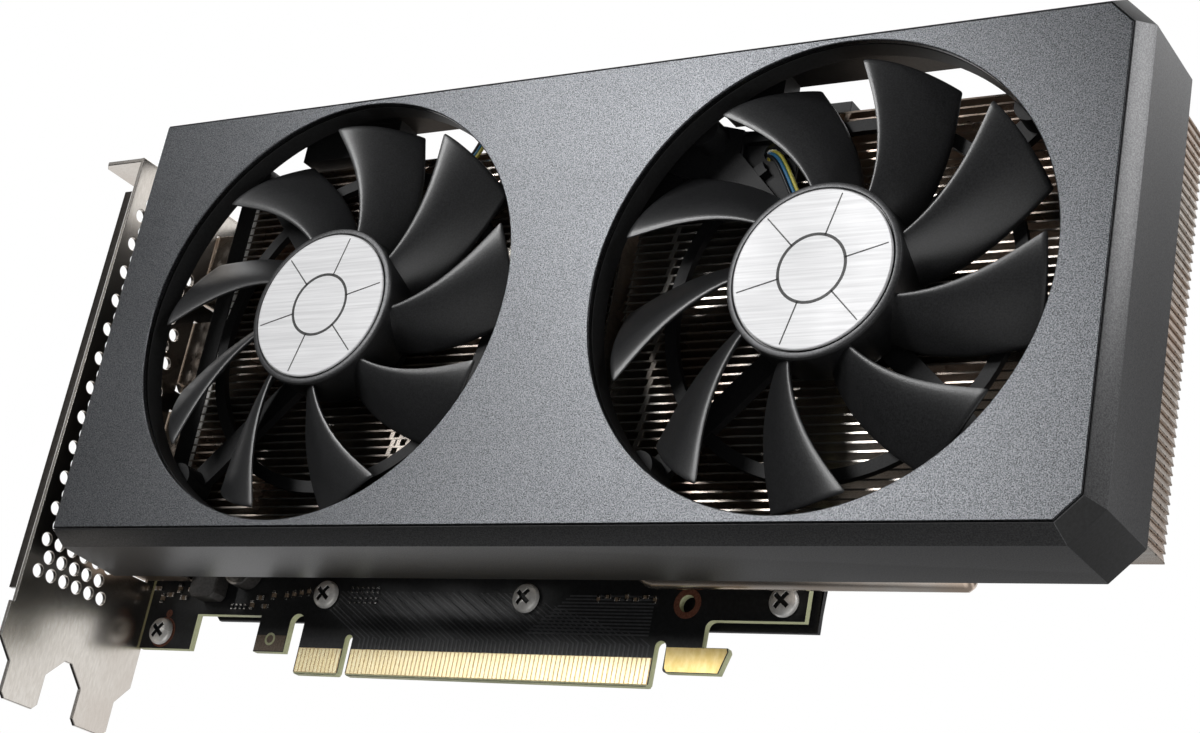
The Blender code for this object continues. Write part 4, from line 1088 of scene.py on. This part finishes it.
def build_power_connector():
    a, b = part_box("power_connector")
    body = box(a.x, b.x, a.y, b.y, a.z, b.z)
    pitch, half = 4.2 * MM, 1.55 * MM
    mx, my, _ = middle("power_connector")
    tools = []
    for column in range(4):
        for row in range(2):
            x, y = mx + (column - 1.5) * pitch, my + (row - 0.5) * pitch
            tools.append(box(x - half, x + half, y - half, y + half, a.z + 3 * MM, b.z + 1 * MM))
    cut(body, *tools)
    soften(body, 0.2 * MM)
    finish(paint(body, black_plastic), "power_connector_skin", replaces="power_connector")


def build_screw(node, toward):
    """Pan head with a cross recess on its shank; the head is at -Y when toward is -1."""
    a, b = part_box(node)
    x, z = middle_xz(node)
    head_r, shank_r = (b.x - a.x) / 2, 1.35 * MM
    top, end = (a.y, b.y) if toward < 0 else (b.y, a.y)

    def below(depth):
        return top - toward * depth * MM

    profile = [(0, top), (head_r * 0.45, below(0.06)), (head_r * 0.75, below(0.28)),
               (head_r * 0.93, below(0.65)), (head_r, below(1.1)), (head_r, below(1.7)),
               (shank_r, below(1.7)), (shank_r, end), (0, end)]
    screw = turned(x, z, profile, 40)
    arm, half = head_r * 0.62, head_r * 0.15
    y0, y1 = sorted((below(-0.5), below(0.95)))
    turn = radians(20 + 37 * len(node))
    for angle in (turn, turn + pi / 2):
        cut(screw, bar_from(x, z, angle, -arm, arm, half, half, y0, y1))
    soften(screw, 0.06 * MM, 1, 40)
    # painted shade: the walls and floor of the cross recess get the near-black print material
    paint(screw, screw_steel, print_and_painted_recess_shade)
    repaint(screw, lambda c: 0.3 * MM < (c.y - top) * -toward < 1.0 * MM
            and ((c.x - x) ** 2 + (c.z - z) ** 2) ** 0.5 < arm * 1.02)
    finish(screw, f"{node}_skin", replaces=node, smooth=30)


def build_backplate():
    a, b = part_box("backplate")
    bottom, top, left, right = a.z, b.z, a.x, b.x
    lead = 4.0 * MM
    outline = [(left, bottom + 8 * MM), (left + 6 * MM, bottom + 8 * MM), (left + 14 * MM, bottom),
               (right, bottom), (right, top - lead), (right - lead, top), (left + lead, top),
               (left, top - lead)]
    loops = [outline]
    loops += [circle(middle_xz(node), SCREW_HOLE_R, 32)[::-1] for node in SPRING_SCREWS]
    slot_w, slot_low, slot_high, slant = 3.0 * MM, 40.0 * MM, 80.0 * MM, 12.0 * MM
    for i in range(6):
        x = 22 * MM + i * 6.5 * MM
        loops.append([(x, slot_low), (x + slant, slot_high), (x + slot_w + slant, slot_high),
                      (x + slot_w, slot_low)])
    plate = sheet(loops, a.y, b.y, "Y", 0.25 * MM)
    finish(paint(plate, backplate_black), "backplate_skin", replaces="backplate")


# ------------------------------------------------------------------ fan cables

WIRE_R, WIRE_STEP = 0.35 * MM, 0.72 * MM
RIGHT_PLUG_Z = 95.6 * MM


def build_cable(side):
    """Three wires side by side from the motor base to the plug on the board."""
    lane = (FRAME_FRONT + FRAME_BACK) / 2
    x = FAN_X[side]
    angle = radians(CABLE_ANGLES[side])
    points = [(x + r * MM * cos(angle), lane, FAN_Z + r * MM * sin(angle)) for r in (16.2, 24, 34)]
    plug_x = middle(f"fan_plug_{side}").x
    if side == "left":
        points += [(plug_x - 2.5 * MM, lane, 102 * MM), (plug_x - 0.5 * MM, lane, 105 * MM),
                   (plug_x, -22 * MM, 106 * MM), (plug_x, -12 * MM, 106 * MM),
                   (plug_x, -4.6 * MM, 104.9 * MM), (plug_x, -3.6 * MM, 102.6 * MM)]
    else:
        points += [(plug_x + 2 * MM, -23 * MM, RIGHT_PLUG_Z + 1 * MM), (plug_x, -17 * MM, RIGHT_PLUG_Z),
                   (plug_x, -6.1 * MM, RIGHT_PLUG_Z)]
    route = smooth_route(points, 1.5 * MM)
    across = Vector((sin(angle), 0, -cos(angle)))
    wires = []
    for k, color in enumerate((wire_black, wire_blue, wire_yellow)):
        offset = across * ((k - 1) * WIRE_STEP)
        wires.append(paint(tube([p + offset for p in route], WIRE_R, 12), color))
    finish(merge(wires, "wires"), f"fan_wires_{side}", replaces=f"fan_cable_{side}", smooth=50)


# ------------------------------------------------------------------ CAD nodes that stay

KEPT_NODES = [
    (chip_black, ["gpu_package"] + [f"memory_{i}" for i in range(1, 5)]),
    (copper, ["cold_plate", "bearing_left", "bearing_right", "stator_left", "stator_right"]),
    (magnet_grey, ["magnet_ring_left", "magnet_ring_right"]),
    (screw_steel, ["shaft_left", "shaft_right"]),
    (black_plastic, ["fan_plug_left", "fan_plug_right"] + [f"{name}_tongue" for name in SOCKETS]),
]


def dress_kept_nodes():
    for material, nodes in KEPT_NODES:
        for node in nodes:
            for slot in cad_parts[node].material_slots:
                slot.material = material


# ------------------------------------------------------------------ stage

FLOOR_HALF, FLOOR_Z = 4.0, -0.22
LIGHTS = [
    ("key", (-0.555, -0.94, 0.65), (0.03, 0, 0.06), (0.26, 0.26), 3.5),
    ("low_right", (-0.40, -1.03, 0.37), (0.10, 0, 0.03), (0.22, 0.20), 1.3),
    ("fill", (-0.60, -1.06, 0.27), (0.00, 0, 0.00), (0.36, 0.19), 1.6),
    ("right", (1.15, -0.02, 0.80), (0.10, 0, 0.06), (0.5, 0.5), 5.6),
]


def area_light(name, location, target, size, power):
    data = bpy.data.lights.new(name, "AREA")
    data.shape = "RECTANGLE"
    data.size, data.size_y = size
    data.energy = power
    lamp = put_object(name, data)
    lamp.location = location
    lamp.rotation_euler = (Vector(target) - Vector(location)).to_track_quat("-Z", "Y").to_euler()


def combined(tree, operation, first, second):
    node = tree.nodes.new("ShaderNodeMath")
    node.operation = operation
    link(tree, first, node.inputs[0])
    link(tree, second, node.inputs[1])
    return node.outputs["Value"]


def along_direction(tree, place, direction):
    """1 where the world is seen straight along the direction, less to its sides."""
    node = tree.nodes.new("ShaderNodeVectorMath")
    node.operation = "DOT_PRODUCT"
    node.inputs[1].default_value = Vector(direction).normalized()
    link(tree, place, node.inputs[0])
    return node.outputs["Value"]


def world_strength(tree):
    """Dark in front and pale behind: dimmer below and in one patch high behind, paler in one patch
    low behind and one low in front."""
    place = tree.nodes.new("ShaderNodeTexCoord").outputs["Generated"]
    split = tree.nodes.new("ShaderNodeSeparateXYZ")
    link(tree, place, split.inputs["Vector"])
    y, z = split.outputs["Y"], split.outputs["Z"]
    strength = spread(tree, y, 0.0, 0.45, 0.06, 0.98)
    dark_patch = spread(tree, along_direction(tree, place, (0.34, 0.88, 0.30)), 0.92, 0.98, 1.0, 0.12)
    pale_patch = spread(tree, along_direction(tree, place, (-0.68, 0.61, -0.41)), 0.94, 0.99, 0.26, 0.9)
    below = combined(tree, "MAXIMUM", spread(tree, z, -0.30, -0.05, 0.28, 1.0), pale_patch)
    above = spread(tree, z, 0.35, 0.6, 1.0, 1.7)
    for factor in (dark_patch, below, above):
        strength = combined(tree, "MULTIPLY", strength, factor)
    ground = spread(tree, along_direction(tree, place, (0.55, -0.35, -0.76)), 0.65, 0.97, 0.0, 1.0)
    return combined(tree, "ADD", strength, ground)


def build_world():
    """The camera sees plain white, and everything else the studio's own brightness."""
    world = bpy.data.worlds.new("studio")
    bpy.context.scene.world = world
    world.use_nodes = True
    tree = world.node_tree
    surroundings = tree.nodes["Background"]
    link(tree, world_strength(tree), surroundings.inputs["Strength"])
    backdrop = tree.nodes.new("ShaderNodeBackground")
    for background in (surroundings, backdrop):
        background.inputs["Color"].default_value = (1, 1, 1, 1)
    rays = tree.nodes.new("ShaderNodeLightPath")
    either = tree.nodes.new("ShaderNodeMixShader")
    link(tree, rays.outputs["Is Camera Ray"], either.inputs["Fac"])
    link(tree, surroundings.outputs["Background"], either.inputs[1])
    link(tree, backdrop.outputs["Background"], either.inputs[2])
    link(tree, either.outputs["Shader"], tree.nodes["World Output"].inputs["Surface"])


def build_stage():
    corners = [(sx * FLOOR_HALF, sy * FLOOR_HALF, FLOOR_Z) for sx, sy in ((-1, -1), (1, -1), (1, 1), (-1, 1))]
    floor = mesh_object("floor", corners, [[0, 1, 2, 3]])
    paint(floor, grained("floor_pale", (0.84, 0.84, 0.84), (0.87, 0.87, 0.87), (0.7, 0.75), grain=260,
                         depth=0.2 * MM, strength=0.1))
    floor.visible_glossy = False
    floor.visible_diffuse = False
    for light in LIGHTS:
        area_light(*light)
    build_world()


def build_camera():
    data = bpy.data.cameras.new("camera")
    data.sensor_width = 36
    data.lens = 66.897
    data.shift_x = -0.0588
    data.shift_y = -0.0324
    camera = put_object("camera", data)
    camera.location = (254.98 * MM, -340.06 * MM, -91.33 * MM)
    camera.rotation_euler = (radians(112.194), radians(-9.8575), radians(30.0054))
    bpy.context.scene.camera = camera
    bpy.context.scene.view_settings.view_transform = "Standard"


def build():
    build_front_plate()
    build_shroud()
    for side in ("left", "right"):
        build_rotor(side)
        build_disc(side)
        build_fan_frame(side)
        build_fins(side)
        build_cable(side)
    build_pipes()
    build_cooler_frame()
    build_bracket()
    for name in SOCKETS:
        build_socket(name)
    build_board()
    build_contacts()
    build_traces()
    build_small_parts()
    build_chokes()
    build_power_connector()
    for node in BOARD_SCREWS:
        build_screw(node, -1)
    for node in SPRING_SCREWS:
        build_screw(node, 1)
    build_backplate()
    dress_kept_nodes()
    build_stage()
    build_camera()


build()
